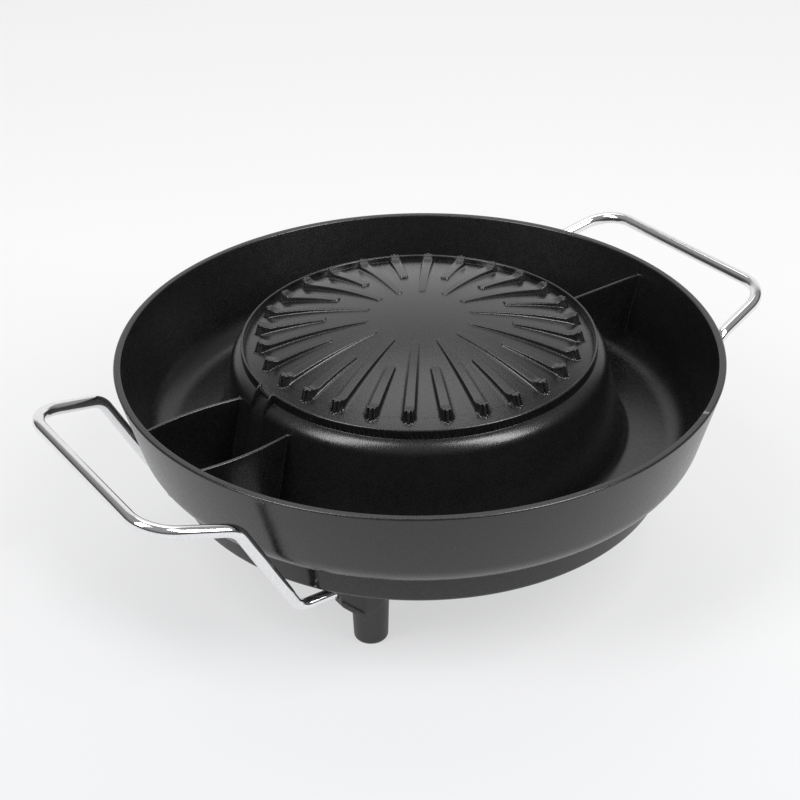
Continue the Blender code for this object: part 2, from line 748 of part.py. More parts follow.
def feet():
    """Moulded leg with a side arm round the rod's end, drilled for its two screws."""
    leg = turned("foot", rounded([
        (0, 0, 0),
        (LEG_LOW_RADIUS, 0, LEG_ROUNDING),
        (LEG_TOP_RADIUS, FOOT_HEIGHT, 0),
        (0, FOOT_HEIGHT, 0),
    ]), LEG_SEGMENTS)
    arm = slab("arm", rounded([
        (0, ARM_ROOT_HEIGHT - LEG_TOP_RADIUS * (ARM_TIP_HEIGHT - ARM_ROOT_HEIGHT) / ARM_LENGTH, 0),
        (ARM_LENGTH, ARM_TIP_HEIGHT, ARM_ROUNDING),
        (ARM_LENGTH, FOOT_HEIGHT, ARM_ROUNDING),
        (0, FOOT_HEIGHT, 0),
    ]), ARM_WIDTH)
    combine(leg, "UNION", arm)
    well = FOOT_SCREW_HEAD + 2 * HOLE_CLEARANCE
    seat = handle_screw_seat()
    screw_well = HANDLE_SCREW_HEAD + 2 * HOLE_CLEARANCE
    socket = cylinder("socket", ROD_RADIUS + HOLE_CLEARANCE, 0, ROD_INSERT + GAP + OVERRUN, LEG_SEGMENTS)
    along_arm = Matrix.Translation((ARM_LENGTH - ROD_INSERT - GAP, 0, ROD_HEIGHT))
    along_arm = along_arm @ Matrix.Rotation(math.pi / 2, 4, "Y")
    spot = Matrix.Translation((ARM_LENGTH - HANDLE_SCREW_PLACE, 0, 0))
    combine(leg, "DIFFERENCE", cylinder("well", well, -OVERRUN, FOOT_SCREW_SEAT))
    combine(leg, "DIFFERENCE", cylinder("hole", FOOT_HOLE, FOOT_SCREW_SEAT - OVERRUN, FOOT_HEIGHT + OVERRUN))
    combine(leg, "DIFFERENCE", moved(socket, along_arm))
    drill = cylinder("well", screw_well, ARM_ROOT_HEIGHT - LEG_TOP_RADIUS, seat)
    combine(leg, "DIFFERENCE", moved(drill, spot))
    drill = cylinder("hole", HANDLE_SCREW_RADIUS + HOLE_CLEARANCE, seat - OVERRUN, ROD_HEIGHT)
    combine(leg, "DIFFERENCE", moved(drill, spot))
    finish(leg, material("black_phenolic", (0.03, 0.03, 0.03), 0.4))
    copies(leg, named("foot"))


def handle_screw_seat():
    """Height of the face that a handle screw's head bears on, under the rod's socket."""
    return ROD_HEIGHT - ROD_RADIUS - HOLE_CLEARANCE - SOCKET_FLOOR


def slotted_screw(name, seat, radius, head_radius, length):
    """A screw pointing up, its head just under the seat and its shank reaching length above it."""
    top = seat - GAP
    low = top - SCREW_HEAD_HEIGHT
    chamfer = SCREW_HEAD_HEIGHT / 4
    screw = turned(name, [
        (0, low),
        (head_radius - chamfer, low),
        (head_radius, low + chamfer),
        (head_radius, top),
        (radius, top),
        (radius, seat + length - radius / 2),
        (radius / 2, seat + length),
        (0, seat + length),
    ], SMALL_SEGMENTS)
    groove = [(-head_radius - OVERRUN, low - OVERRUN), (head_radius + OVERRUN, low - OVERRUN)]
    groove += [(head_radius + OVERRUN, low + SLOT_DEPTH), (-head_radius - OVERRUN, low + SLOT_DEPTH)]
    combine(screw, "DIFFERENCE", slab("slot", groove, SLOT_WIDTH))
    return screw


def foot_screws():
    length = BOSS_LOW + FOOT_SCREW_GRIP - FOOT_SCREW_SEAT
    screw = slotted_screw("foot_screw", FOOT_SCREW_SEAT, FOOT_SCREW_RADIUS, FOOT_SCREW_HEAD, length)
    finish(screw, material("zinc_long_screw", (0.6, 0.6, 0.58), 0.3, 1.0))
    copies(screw, named("foot_screw"))


def handle_screws():
    screw = slotted_screw(
        "handle_screw", handle_screw_seat(), HANDLE_SCREW_RADIUS, HANDLE_SCREW_HEAD, HANDLE_SCREW_LENGTH
    )
    moved(screw, Matrix.Translation((ARM_LENGTH - HANDLE_SCREW_PLACE, 0, 0)))
    finish(screw, material("zinc_short_screw", (0.6, 0.6, 0.58), 0.3, 1.0))
    copies(screw, named("handle_screw"))


def handles():
    """Bent wire: in from one foot, out and up past the pan's wall, across the grip, and back."""
    rod_end = foot_reach() + ARM_LENGTH - ROD_INSERT
    low_reach = reach_at_spread(DISH_RADIUS) + LOW_BEND_STAND
    high_reach = reach_at_spread(RIM_RADIUS) + HIGH_BEND_STAND
    half = [
        ((rod_end, FOOT_SPREAD, ROD_HEIGHT), 0),
        ((low_reach, FOOT_SPREAD, ROD_HEIGHT), LOW_BEND_RADIUS),
        ((high_reach, FOOT_SPREAD, RIM_HEIGHT - HIGH_BEND_DROP), HIGH_BEND_RADIUS),
        ((high_reach + GRIP_DEPTH, FOOT_SPREAD - GRIP_NARROWING, RIM_HEIGHT - GRIP_DROP), GRIP_BEND_RADIUS),
    ]
    other = [((x, -y, z), radius) for (x, y, z), radius in reversed(half)]
    rod = tube("handle", bent_path(half + other), ROD_RADIUS, SMALL_SEGMENTS)
    place = foot_reach() + ARM_LENGTH - HANDLE_SCREW_PLACE
    deep = handle_screw_seat() + HANDLE_SCREW_LENGTH + 2 * HOLE_CLEARANCE
    low = ROD_HEIGHT - ROD_RADIUS - OVERRUN
    for hand in (-1, 1):
        hole = cylinder("hole", HANDLE_SCREW_RADIUS + HOLE_CLEARANCE, low, deep)
        combine(rod, "DIFFERENCE", moved(hole, Matrix.Translation((place, hand * FOOT_SPREAD, 0))))
    finish(rod, material("chrome_rod", (0.85, 0.85, 0.86), 0.08, 1.0))
    copies(rod, [(f"handle_{side}", frame) for side, frame in sides().items()])


def inlet_plate_front():
    """Y of the inlet plate's front face, where its side edges touch the inside of the skirt."""
    reach = DISH_LOW_RADIUS - DISH_SHEET - GAP
    return math.sqrt(reach**2 - INLET_PLATE_HALF_WIDTH**2)


def sheath_end():
    """Y of the element's cold ends, behind the collars of the insulators."""
    return inlet_plate_front() - INLET_PLATE_SHEET - INSULATOR_COLLAR_LENGTH - 2 * GAP


def shroud_floor():
    """Y of the inlet socket's back wall."""
    return DISH_RADIUS + GAP + SHROUD_BACK


def heating_element():
    """One loop under the grill plate; its two ends bend down and run out to the inlet."""
    level = element_height()
    first = math.asin(PIN_SPREAD / ELEMENT_RING)
    leg = math.sqrt(ELEMENT_RING**2 - PIN_SPREAD**2)
    lead = 2 * ELEMENT_BEND / ELEMENT_RING
    loop = []
    for i in range(LOOP_STEPS + 1):
        angle = math.pi / 2 - first - lead - (math.tau - 2 * first - 2 * lead) * i / LOOP_STEPS
        loop.append(Vector((ELEMENT_RING * math.cos(angle), ELEMENT_RING * math.sin(angle), level)))
    start = [
        ((PIN_SPREAD, sheath_end(), INLET_HEIGHT), 0),
        ((PIN_SPREAD, leg, INLET_HEIGHT), ELEMENT_BEND),
        ((PIN_SPREAD, leg, level), ELEMENT_BEND),
        (loop[0], 0),
    ]
    near = bent_path(start)
    far = [Vector((-point.x, point.y, point.z)) for point in reversed(near)]
    element = tube("heating_element", near[:-1] + loop + far[1:], ELEMENT_RADIUS)
    for x in (-PIN_SPREAD, PIN_SPREAD):
        deep = sheath_end() - PIN_INSERT - GAP
        bore = cylinder("bore", PIN_RADIUS + HOLE_CLEARANCE, deep, sheath_end() + OVERRUN)
        combine(element, "DIFFERENCE", along_y(bore, x, INLET_HEIGHT))
    finish(element, material("element_steel", (0.25, 0.24, 0.23), 0.4, 1.0))


def element_clips():
    """A saddle under the element's tube and the screw that holds it to a boss of the plate."""
    level = element_height()
    inner = ELEMENT_RADIUS + CLIP_CLEARANCE
    outer = inner + CLIP_SHEET
    tab_top = level - GAP
    tab_low = tab_top - CLIP_SHEET
    tab_end = ELEMENT_RING - CLIP_SCREW_PLACE - CLIP_TAB_END
    centre = (ELEMENT_RING, level)
    outline = [(tab_end, tab_low)]
    outline += arc(centre, outer, math.pi + math.asin((level - tab_low) / outer), math.tau)
    outline += arc(centre, inner, math.tau, math.pi + math.asin((level - tab_top) / inner))
    outline += [(tab_end, tab_top)]
    clip = slab("element_clip", outline, CLIP_WIDTH)
    spot = Matrix.Translation((ELEMENT_RING - CLIP_SCREW_PLACE, 0, 0))
    hole = cylinder("hole", CLIP_SCREW_RADIUS + HOLE_CLEARANCE, tab_low - OVERRUN, tab_top + OVERRUN)
    combine(clip, "DIFFERENCE", moved(hole, spot))
    finish(clip, material("clip_steel", (0.45, 0.45, 0.45), 0.35, 1.0))
    names = [f"element_clip_{i + 1}" for i in range(CLIP_COUNT)]
    copies(clip, list(zip(names, clip_places())))
    length = level + CLIP_SCREW_GRIP - tab_low
    screw = slotted_screw("clip_screw", tab_low, CLIP_SCREW_RADIUS, CLIP_SCREW_HEAD, length)
    moved(screw, spot)
    finish(screw, material("clip_screw_steel", (0.55, 0.55, 0.53), 0.3, 1.0))
    names = [f"clip_screw_{i + 1}" for i in range(CLIP_COUNT)]
    copies(screw, list(zip(names, clip_places())))


def inlet_plate():
    front = inlet_plate_front()
    half = INLET_PLATE_HALF_WIDTH
    low = INLET_HEIGHT - INLET_PLATE_HALF_HEIGHT
    high = INLET_HEIGHT + INLET_PLATE_HALF_HEIGHT
    back = front - INLET_PLATE_SHEET
    plate = pillar("inlet_plate", [(-half, back), (half, back), (half, front), (-half, front)], low, high)
    combine(plate, "DIFFERENCE", *inlet_bores(back - OVERRUN, front + OVERRUN))
    finish(plate, material("plate_steel", (0.5, 0.5, 0.5), 0.4, 1.0))


def inlet_shroud():
    """Moulded socket round the pins, its back curved to lie on the dish's skirt."""
    mouth = shroud_floor() + SHROUD_DEPTH
    quarters = ((-1, -1), (1, -1), (1, 1), (-1, 1))
    width = SHROUD_HALF_WIDTH - SHROUD_WALL
    height = SHROUD_HALF_HEIGHT - SHROUD_WALL
    corner = SHROUD_ROUNDING - SHROUD_WALL
    outer = rounded([(x * SHROUD_HALF_WIDTH, z * SHROUD_HALF_HEIGHT, SHROUD_ROUNDING) for x, z in quarters])
    inside = rounded([(x * width, z * height, corner) for x, z in quarters])
    shroud = along_y(pillar("inlet_shroud", outer, inlet_plate_front(), mouth), 0, INLET_HEIGHT)
    cavity = along_y(pillar("cavity", inside, shroud_floor(), mouth + OVERRUN), 0, INLET_HEIGHT)
    body = turned("body", [
        (0, 0),
        (DISH_LOW_RADIUS + GAP, 0),
        (DISH_LOW_RADIUS + GAP, DISH_LOW),
        (DISH_RADIUS + GAP, SKIRT_TOP),
        (DISH_RADIUS + GAP, RIM_HEIGHT),
        (0, RIM_HEIGHT),
    ])
    combine(shroud, "DIFFERENCE", body)
    combine(shroud, "DIFFERENCE", cavity)
    combine(shroud, "DIFFERENCE", *inlet_bores(inlet_plate_front(), shroud_floor() + OVERRUN))
    finish(shroud, material("inlet_phenolic", (0.025, 0.025, 0.025), 0.45))


def inlet_screws():
    for name, x in (("inlet_screw_left", -INLET_SCREW_SPREAD), ("inlet_screw_right", INLET_SCREW_SPREAD)):
        length = shroud_floor() + GAP - inlet_plate_front() + 2 * INLET_PLATE_SHEET
        screw = slotted_screw(name, 0, INLET_SCREW_RADIUS, INLET_SCREW_HEAD, length)
        turn = Matrix.Translation((x, shroud_floor(), INLET_HEIGHT)) @ Matrix.Rotation(math.pi / 2, 4, "X")
        finish(moved(screw, turn), material("inlet_screw_steel", (0.6, 0.6, 0.58), 0.3, 1.0))


def pins_and_insulators():
    collar_end = sheath_end() + GAP + INSULATOR_COLLAR_LENGTH
    bore = PIN_RADIUS + HOLE_CLEARANCE
    bead_end = shroud_floor() + INSULATOR_STAND
    tip = PIN_RADIUS / 2
    pin_low = sheath_end() - PIN_INSERT
    pin_high = shroud_floor() + PIN_REACH
    for name, x in (("left", -PIN_SPREAD), ("right", PIN_SPREAD)):
        bead = turned(f"pin_insulator_{name}", [
            (bore, sheath_end() + GAP),
            (INSULATOR_COLLAR, sheath_end() + GAP),
            (INSULATOR_COLLAR, collar_end),
            (INSULATOR_RADIUS, collar_end),
            (INSULATOR_RADIUS, bead_end),
            (bore, bead_end),
        ], SMALL_SEGMENTS)
        finish(along_y(bead, x, INLET_HEIGHT), material("white_ceramic", (0.8, 0.78, 0.74), 0.5))
        pin = turned(f"terminal_pin_{name}", [
            (0, pin_low), (PIN_RADIUS, pin_low), (PIN_RADIUS, pin_high - tip), (tip, pin_high), (0, pin_high),
        ], SMALL_SEGMENTS)
        finish(along_y(pin, x, INLET_HEIGHT), material("nickel_pin", (0.75, 0.74, 0.7), 0.2, 1.0))


def probe_sleeve():
    """Tube, closed at its inner end, that takes the controller's temperature probe."""
    mouth = shroud_floor() + SLEEVE_STAND
    end = mouth - SLEEVE_LENGTH
    bore = SLEEVE_RADIUS - SLEEVE_WALL
    sleeve = turned("probe_sleeve", [
        (0, end),
        (SLEEVE_RADIUS, end),
        (SLEEVE_RADIUS, mouth),
        (bore, mouth),
        (bore, end + SLEEVE_WALL),
        (0, end + SLEEVE_WALL),
    ], SMALL_SEGMENTS)
    finish(along_y(sleeve, 0, INLET_HEIGHT), material("sleeve_steel", (0.6, 0.6, 0.6), 0.3, 1.0))


clear_scene()
cooking_pan()
base_dish()
heat_reflector()
spacers()
feet()
foot_screws()
handle_screws()
handles()
heating_element()
element_clips()
inlet_plate()
inlet_shroud()
inlet_screws()
pins_and_insulators()
probe_sleeve()
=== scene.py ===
import math

import bmesh
import bpy
import numpy as np
from mathutils import Matrix, Vector


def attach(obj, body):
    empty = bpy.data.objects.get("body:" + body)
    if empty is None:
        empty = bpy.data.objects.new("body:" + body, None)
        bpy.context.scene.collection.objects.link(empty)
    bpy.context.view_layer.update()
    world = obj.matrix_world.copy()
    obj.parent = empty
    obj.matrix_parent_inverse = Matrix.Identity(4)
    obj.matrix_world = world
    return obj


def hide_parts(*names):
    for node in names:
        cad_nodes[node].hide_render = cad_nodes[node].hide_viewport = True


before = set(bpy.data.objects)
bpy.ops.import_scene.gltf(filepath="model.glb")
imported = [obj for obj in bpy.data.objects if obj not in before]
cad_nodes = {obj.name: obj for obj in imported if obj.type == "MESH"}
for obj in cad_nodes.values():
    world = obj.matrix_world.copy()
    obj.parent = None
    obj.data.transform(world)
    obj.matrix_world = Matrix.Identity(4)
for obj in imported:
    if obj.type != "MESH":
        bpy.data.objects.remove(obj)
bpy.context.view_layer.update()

OVERRUN = 0.002


# Cooking pan, turned body
# The real pan is one aluminium casting with a black non-stick coat: a deep moat round a hollow
# island. Its body is turned here from one section, with the rim, the fillets and the shoulder
# of the island rounded as the casting's are.
UNDERSIDE = 0.0694
MOAT_FLOOR = 0.0734
RIM_HEIGHT = 0.1306
RIM_RADIUS = 0.190
RIM_WIDTH = 0.0047
RIM_EDGE = 0.0011
WALL_SLOPE = math.radians(15.5)
CORNER_RADIUS = 0.0246
MOAT_FILLET = CORNER_RADIUS - RIM_WIDTH
ISLAND_RADIUS = 0.1163
ISLAND_DRAFT = math.radians(12.2)
ISLAND_WALL = 0.004
ISLAND_FILLET = 0.006
SHOULDER_SLOPE = math.radians(20)
SHOULDER_RADIUS = 0.011
SHOULDER_THICKNESS = 0.006
LEDGE_HEIGHT = 0.1319
LIP_RADIUS = 0.1109
LIP_WIDTH = 0.0018
LIP_TOP = 0.1380
LIP_FILLET = 0.0003
LIP_STUB = 0.00006
CROWN_RADIUS = 0.319
CROWN_EDGE = 0.1091
CROWN_EDGE_HEIGHT = 0.1343
CROWN_CENTRE = CROWN_EDGE_HEIGHT - math.sqrt(CROWN_RADIUS**2 - CROWN_EDGE**2)
SEAM_RADIUS = 0.1060
SEAM_STEP = 0.00002
PLATE_THICKNESS = 0.005
PLATE_SUNK = 0.001
BODY_SEGMENTS = 240
TOP_STEPS = 16
HOLLOW_STEPS = 12
ARC_STEP = math.radians(7.5)
ANGLE_TOLERANCE = 1e-6
MERGE_DISTANCE = 1e-7
SMOOTH_ANGLE = math.radians(34)


def linked(name, data):
    """A new object with this data, linked to the scene."""
    obj = bpy.data.objects.new(name, data)
    bpy.context.scene.collection.objects.link(obj)
    return obj


def solid(name, points, faces):
    """A closed mesh object with its doubled points merged and its faces turned outward."""
    mesh = bpy.data.meshes.new(name)
    mesh.from_pydata([tuple(point) for point in points], [], faces)
    work = bmesh.new()
    work.from_mesh(mesh)
    bmesh.ops.remove_doubles(work, verts=work.verts, dist=MERGE_DISTANCE)
    bmesh.ops.recalc_face_normals(work, faces=work.faces)
    work.to_mesh(mesh)
    work.free()
    return linked(name, mesh)


def lofted(name, rings, closed=False):
    """A solid through rings of points, each ring closed, with its two ends capped or joined."""
    count = len(rings[0])
    points = [point for ring in rings for point in ring]
    spans = len(rings) if closed else len(rings) - 1
    faces = []
    for i in range(spans):
        here = i * count
        there = (i + 1) % len(rings) * count
        for j in range(count):
            k = (j + 1) % count
            faces.append((here + j, here + k, there + k, there + j))
    if not closed:
        faces.append(tuple(range(count)))
        faces.append(tuple(range(len(points) - count, len(points))))
    return solid(name, points, faces)


def turned(name, section, segments=BODY_SEGMENTS):
    """A solid turned about Z from a closed (radius, height) section."""
    rings = []
    for i in range(segments):
        angle = math.tau * i / segments
        rings.append([(r * math.cos(angle), r * math.sin(angle), z) for r, z in section])
    return lofted(name, rings, closed=True)


def rounded(corners, step=ARC_STEP, closed=True):
    """The outline through (x, y, radius) corners, each rounded by its radius."""
    outline = []
    for i, (x, y, radius) in enumerate(corners):
        corner = Vector((x, y))
        if radius == 0 or (not closed and i in (0, len(corners) - 1)):
            outline.append((x, y))
            continue
        before = (Vector(corners[i - 1][:2]) - corner).normalized()
        after = (Vector(corners[(i + 1) % len(corners)][:2]) - corner).normalized()
        half = before.angle(after) / 2
        centre = corner + (before + after).normalized() * radius / math.sin(half)
        first = corner + before * radius / math.tan(half) - centre
        last = corner + after * radius / math.tan(half) - centre
        start = math.atan2(first.y, first.x)
        turn = math.remainder(math.atan2(last.y, last.x) - start, math.tau)
        steps = max(1, math.ceil(abs(turn) / step - ANGLE_TOLERANCE))
        for j in range(steps + 1):
            angle = start + turn * j / steps
            outline.append((centre.x + radius * math.cos(angle), centre.y + radius * math.sin(angle)))
    return outline


def applied(obj):
    """Leaves the object with the plain mesh that its modifiers make."""
    graph = bpy.context.evaluated_depsgraph_get()
    made = bpy.data.meshes.new_from_object(obj.evaluated_get(graph))
    obj.modifiers.clear()
    obj.data = made
    return obj


def combine(target, operation, *tools):
    """Unites or cuts the target with each tool in turn; the tools are used up."""
    for tool in tools:
        modifier = target.modifiers.new("combine", "BOOLEAN")
        modifier.operation = operation
        modifier.solver = "MANIFOLD"
        modifier.object = tool
        applied(target)
        bpy.data.objects.remove(tool)


def crown(radius, depth=0.0):
    """Height of the crowned grill plate at a radius, or of the sphere this far under it."""
    return CROWN_CENTRE + np.sqrt((CROWN_RADIUS - depth) ** 2 - radius**2)


def island_wall(height):
    return ISLAND_RADIUS + (LEDGE_HEIGHT - height) * math.tan(ISLAND_DRAFT)


def outer_wall(height):
    return RIM_RADIUS - (RIM_HEIGHT - height) * math.tan(WALL_SLOPE)


def crown_arc(edge, depth, steps):
    return [(edge * i / steps, float(crown(edge * i / steps, depth))) for i in range(steps + 1)]


def pan_body():
    """The casting without its ribs, lip and dividers."""
    inner_top = RIM_RADIUS - RIM_WIDTH
    stub_inner = LIP_RADIUS - LIP_WIDTH + LIP_STUB
    stub_outer = LIP_RADIUS - LIP_STUB
    hollow = ISLAND_WALL / math.cos(ISLAND_DRAFT)
    under_shoulder = LEDGE_HEIGHT - SHOULDER_THICKNESS
    hollow_edge = CROWN_EDGE - SHOULDER_THICKNESS
    slopes = math.tan(SHOULDER_SLOPE), math.tan(ISLAND_DRAFT)
    shoulder_run = (ISLAND_RADIUS - LIP_RADIUS) / (1 - slopes[0] * slopes[1])
    shoulder_corner = LEDGE_HEIGHT - shoulder_run * slopes[0]
    top = crown_arc(SEAM_RADIUS - 3 * PLATE_SUNK, PLATE_SUNK, TOP_STEPS)
    stub_low = float(crown(stub_inner)) - SEAM_STEP
    outside = rounded([
        (SEAM_RADIUS, float(crown(SEAM_RADIUS)) - SEAM_STEP, 0),
        (stub_inner, stub_low, LIP_FILLET),
        (stub_inner, stub_low + 2 * LIP_FILLET, 0),
        (stub_outer, stub_low + 2 * LIP_FILLET, 0),
        (stub_outer, LEDGE_HEIGHT, LIP_FILLET),
        (island_wall(shoulder_corner), shoulder_corner, SHOULDER_RADIUS),
        (island_wall(MOAT_FLOOR), MOAT_FLOOR, ISLAND_FILLET),
        (outer_wall(MOAT_FLOOR) - RIM_WIDTH, MOAT_FLOOR, MOAT_FILLET),
        (inner_top, RIM_HEIGHT, RIM_EDGE),
        (RIM_RADIUS, RIM_HEIGHT, RIM_EDGE),
        (outer_wall(UNDERSIDE), UNDERSIDE, CORNER_RADIUS),
        (island_wall(UNDERSIDE) - hollow, UNDERSIDE, RIM_EDGE),
        (island_wall(under_shoulder) - hollow, under_shoulder, ISLAND_FILLET),
        (hollow_edge, float(crown(hollow_edge, PLATE_THICKNESS)), 0),
    ], closed=False)
    underneath = crown_arc(hollow_edge, PLATE_THICKNESS, HOLLOW_STEPS)
    return turned("cooking_pan_body", top + outside[:-1] + underneath[::-1])


pan = pan_body()


# Cooking pan, ribbed grill plate
# The top of the island is a crowned plate with 28 ribs, long and short in turn, each ending in a
# fluted post at the plate's edge. One sector with a long and a short rib is drawn as a grid of
# points that follows the ribs' own edges, and Geometry Nodes set it round the axis 14 times.
RIB_COUNT = 28
RIB_PITCH = math.tau / RIB_COUNT
RIB_TURN = math.radians(-0.9)
LONG_RIB_START = 0.032
SHORT_RIB_START = 0.058
LONG_RIB_RISE = 0.0006
SHORT_RIB_RISE = 0.0011
RIB_HEIGHT = 0.0029
RIB_START_WIDTH = 0.0042
RIB_WIDTH = 0.0064
RIB_DRAFT = math.radians(5.4)
RIB_TOP_ROUNDING = 0.0006
RIB_ROOT_FILLET = 0.0012
RIB_NOSE_ROUNDING = 0.0016
SWEEP_START = 0.0912
SWEEP_END = 0.0974
POST_RADIUS = 0.1006
POST_HEIGHT = 0.007
POST_TOP = float(crown(POST_RADIUS)) + POST_HEIGHT
POST_WIDTH = 0.0058
POST_CORNER = 0.0008
POST_SIDE_DRAFT = math.radians(11)
POST_FACE_DRAFT = math.radians(16)
FLUTE_PLACES = (0, 0.24, 0.45, 0.66, 0.85, 1.0, 1.25, 3.0)
FLUTE_DEPTHS = (0, 0.0002, 0.0020, 0.0008, 0.0012, 0.0021, 0.0026, 0.0026)
FLUTE_SOFTNESS = 0.05
PLATE_EDGE_DROP = 0.0016
INNER_ROWS = (0.00002, 0.004, 0.010, 0.017, 0.024)
LONG_RIB_ROWS = (0.036, 0.039, 0.043, 0.047, 0.051)
SHORT_RIB_ROWS = (0.062, 0.066, 0.070, 0.075, 0.080, 0.085, 0.089)
NOSE_STEPS = (-0.0016, -0.0009, -0.0004, 0.0, 0.0005, 0.0011, 0.0019)
SWEEP_ROWS = 9
WALL_ROWS = 4
POST_STEP = 0.0009
EDGE_STEP = 0.0003
EDGE_ROWS = 4
ROUNDING_SHARE = 0.9
RIB_TOP_SHARES = (0, 0.15, 0.28, 0.40, 0.50, 0.60, 0.72, 0.86)
BAY_SHARES = (0.3, 0.65, 1)
UNDERSIDE_SHARES = (1.0, 0.9, 0.75, 0.6, 0.45, 0.3, 0.15, 0.0)
JOIN_DISTANCE = 0.000004


def wall_draft(along):
    """Lean of the walls of a rib: slight beside it, more round its post."""
    places = (SWEEP_START, SWEEP_END, POST_RADIUS)
    return np.interp(along, places, (RIB_DRAFT, POST_SIDE_DRAFT, POST_FACE_DRAFT))


def rib_roundings(height, draft):
    """Radii and set-backs of a rib's top and root roundings where it stands this high."""
    bend = np.tan((math.pi / 2 - draft) / 2)
    room = np.minimum(1.0, ROUNDING_SHARE * height / ((RIB_TOP_ROUNDING + RIB_ROOT_FILLET) * bend))
    top = RIB_TOP_ROUNDING * room
    root = RIB_ROOT_FILLET * room
    return top, root, top * bend, root * bend


def rib_profile(off, height, draft):
    """Height above the plate at a distance beyond the rib's outline."""
    top, root, top_set, root_set = rib_roundings(height, draft)
    lean = np.tan(draft)
    toe = height * lean
    level = height - off / lean
    on_top_arc = height - top + np.sqrt(np.maximum(top**2 - (off + top_set) ** 2, 0))
    level = np.where(off < top_set * np.sin(draft), on_top_arc, level)
    level = np.where(off < -top_set, height, level)
    on_root_arc = root - np.sqrt(np.maximum(root**2 - (toe + root_set - off) ** 2, 0))
    level = np.where(off > toe - root_set * np.sin(draft), on_root_arc, level)
    return np.where(off > toe + root_set, 0, level)


def rib_offsets(height, draft):
    """Distances beyond the outline at which the rib's wall bends, from its top to its root."""
    top, root, top_set, root_set = rib_roundings(height, draft)
    turn = np.linspace(0, math.pi / 2 - draft, WALL_ROWS)
    upper = -top_set + top * np.sin(turn)
    lower = height * math.tan(draft) + root_set - root * np.sin(turn[::-1])
    return np.concatenate([upper, lower])


def rib_half_width(along):
    places = (LONG_RIB_START, SWEEP_START, SWEEP_END)
    return np.interp(along, places, (RIB_START_WIDTH, RIB_WIDTH, POST_WIDTH)) / 2


def rib_height(along, start, rise):
    """Height of the rib's top above the plate: low, then swept up to the post's flat top."""
    run = np.clip((along - start) / (SWEEP_START - start), 0, 1)
    low = crown(np.clip(along, start, SWEEP_START)) + rise + (RIB_HEIGHT - rise) * run
    swept = np.clip((along - SWEEP_START) / (SWEEP_END - SWEEP_START), 0, 1)
    fall = (crown(SWEEP_END) - crown(SWEEP_START)) * swept * (1 - swept)
    rise_up = (POST_TOP - crown(SWEEP_START) - RIB_HEIGHT) * swept**2
    return low + fall + rise_up - crown(np.maximum(along, start))


def flute(share):
    """How far the post's face stands back, across the rib."""
    curve = np.interp(share, FLUTE_PLACES, FLUTE_DEPTHS)
    before = np.interp(np.abs(share - FLUTE_SOFTNESS), FLUTE_PLACES, FLUTE_DEPTHS)
    after = np.interp(share + FLUTE_SOFTNESS, FLUTE_PLACES, FLUTE_DEPTHS)
    return (curve + before + after) / 3


def nose_rows(start):
    """Distances out along the rib at which the grid has its rows round the rib's nose."""
    return start + np.array(NOSE_STEPS)


def sector_half(start, rise, hand):
    """Grid points beside one rib, from its middle line to the middle of the bay."""
    full_rows = np.concatenate([
        INNER_ROWS, nose_rows(LONG_RIB_START), LONG_RIB_ROWS, nose_rows(SHORT_RIB_START), SHORT_RIB_ROWS,
        np.linspace(SWEEP_START, SWEEP_END, SWEEP_ROWS),
    ])
    root_height = rib_height(POST_RADIUS + POST_HEIGHT * math.tan(POST_FACE_DRAFT), start, rise)
    edge_steps = rib_offsets(root_height, POST_FACE_DRAFT)
    rows = []
    for row in [*full_rows, -POST_STEP, *edge_steps]:
        at_end = len(rows) >= len(full_rows)
        along = max(POST_RADIUS - FLUTE_DEPTHS[-1] if at_end else row, start)
        half = rib_half_width(along)
        offsets = rib_offsets(rib_height(along, start, rise), float(wall_draft(along)))
        across = np.concatenate([np.array(RIB_TOP_SHARES) * (half + offsets[0]), half + offsets])
        bay = along * math.tan(RIB_PITCH / 2)
        if not at_end and row < start:
            across = across * row / start
            bay = row * math.tan(RIB_PITCH / 2)
        between = np.array(BAY_SHARES)
        across = np.concatenate([across, across[-1] + (bay - across[-1]) * between])
        x = np.full(len(across), row)
        if at_end:
            x = POST_RADIUS + row - flute(across / half)
            bay = x[-1] * math.tan(RIB_PITCH / 2)
            foot = across[-len(between) - 1]
            across[-len(between):] = foot + (bay - foot) * between
        rows.append((x, across))
    spread = rows[-1][1] / rows[-1][1][-1] * RIB_PITCH / 2
    for radius in np.linspace(rows[-1][0][0] + EDGE_STEP, SEAM_RADIUS, EDGE_ROWS):
        rows.append((radius * np.cos(spread), radius * np.sin(spread)))
    x = np.array([row[0] for row in rows])
    y = np.array([row[1] for row in rows])
    height = rib_height(x, start, rise)
    past_end = x - (POST_RADIUS - flute(y / rib_half_width(x)))
    corner = np.where(x > (start + POST_RADIUS) / 2, POST_CORNER, RIB_NOSE_ROUNDING)
    out = np.maximum(past_end, start - x) + corner
    beside = y - rib_half_width(x) + corner
    off = np.hypot(np.maximum(out, 0), np.maximum(beside, 0)) - corner
    off += np.minimum(np.maximum(out, beside), 0)
    z = crown(np.hypot(x, y)) + rib_profile(off, height, wall_draft(x))
    return x, hand * y, z


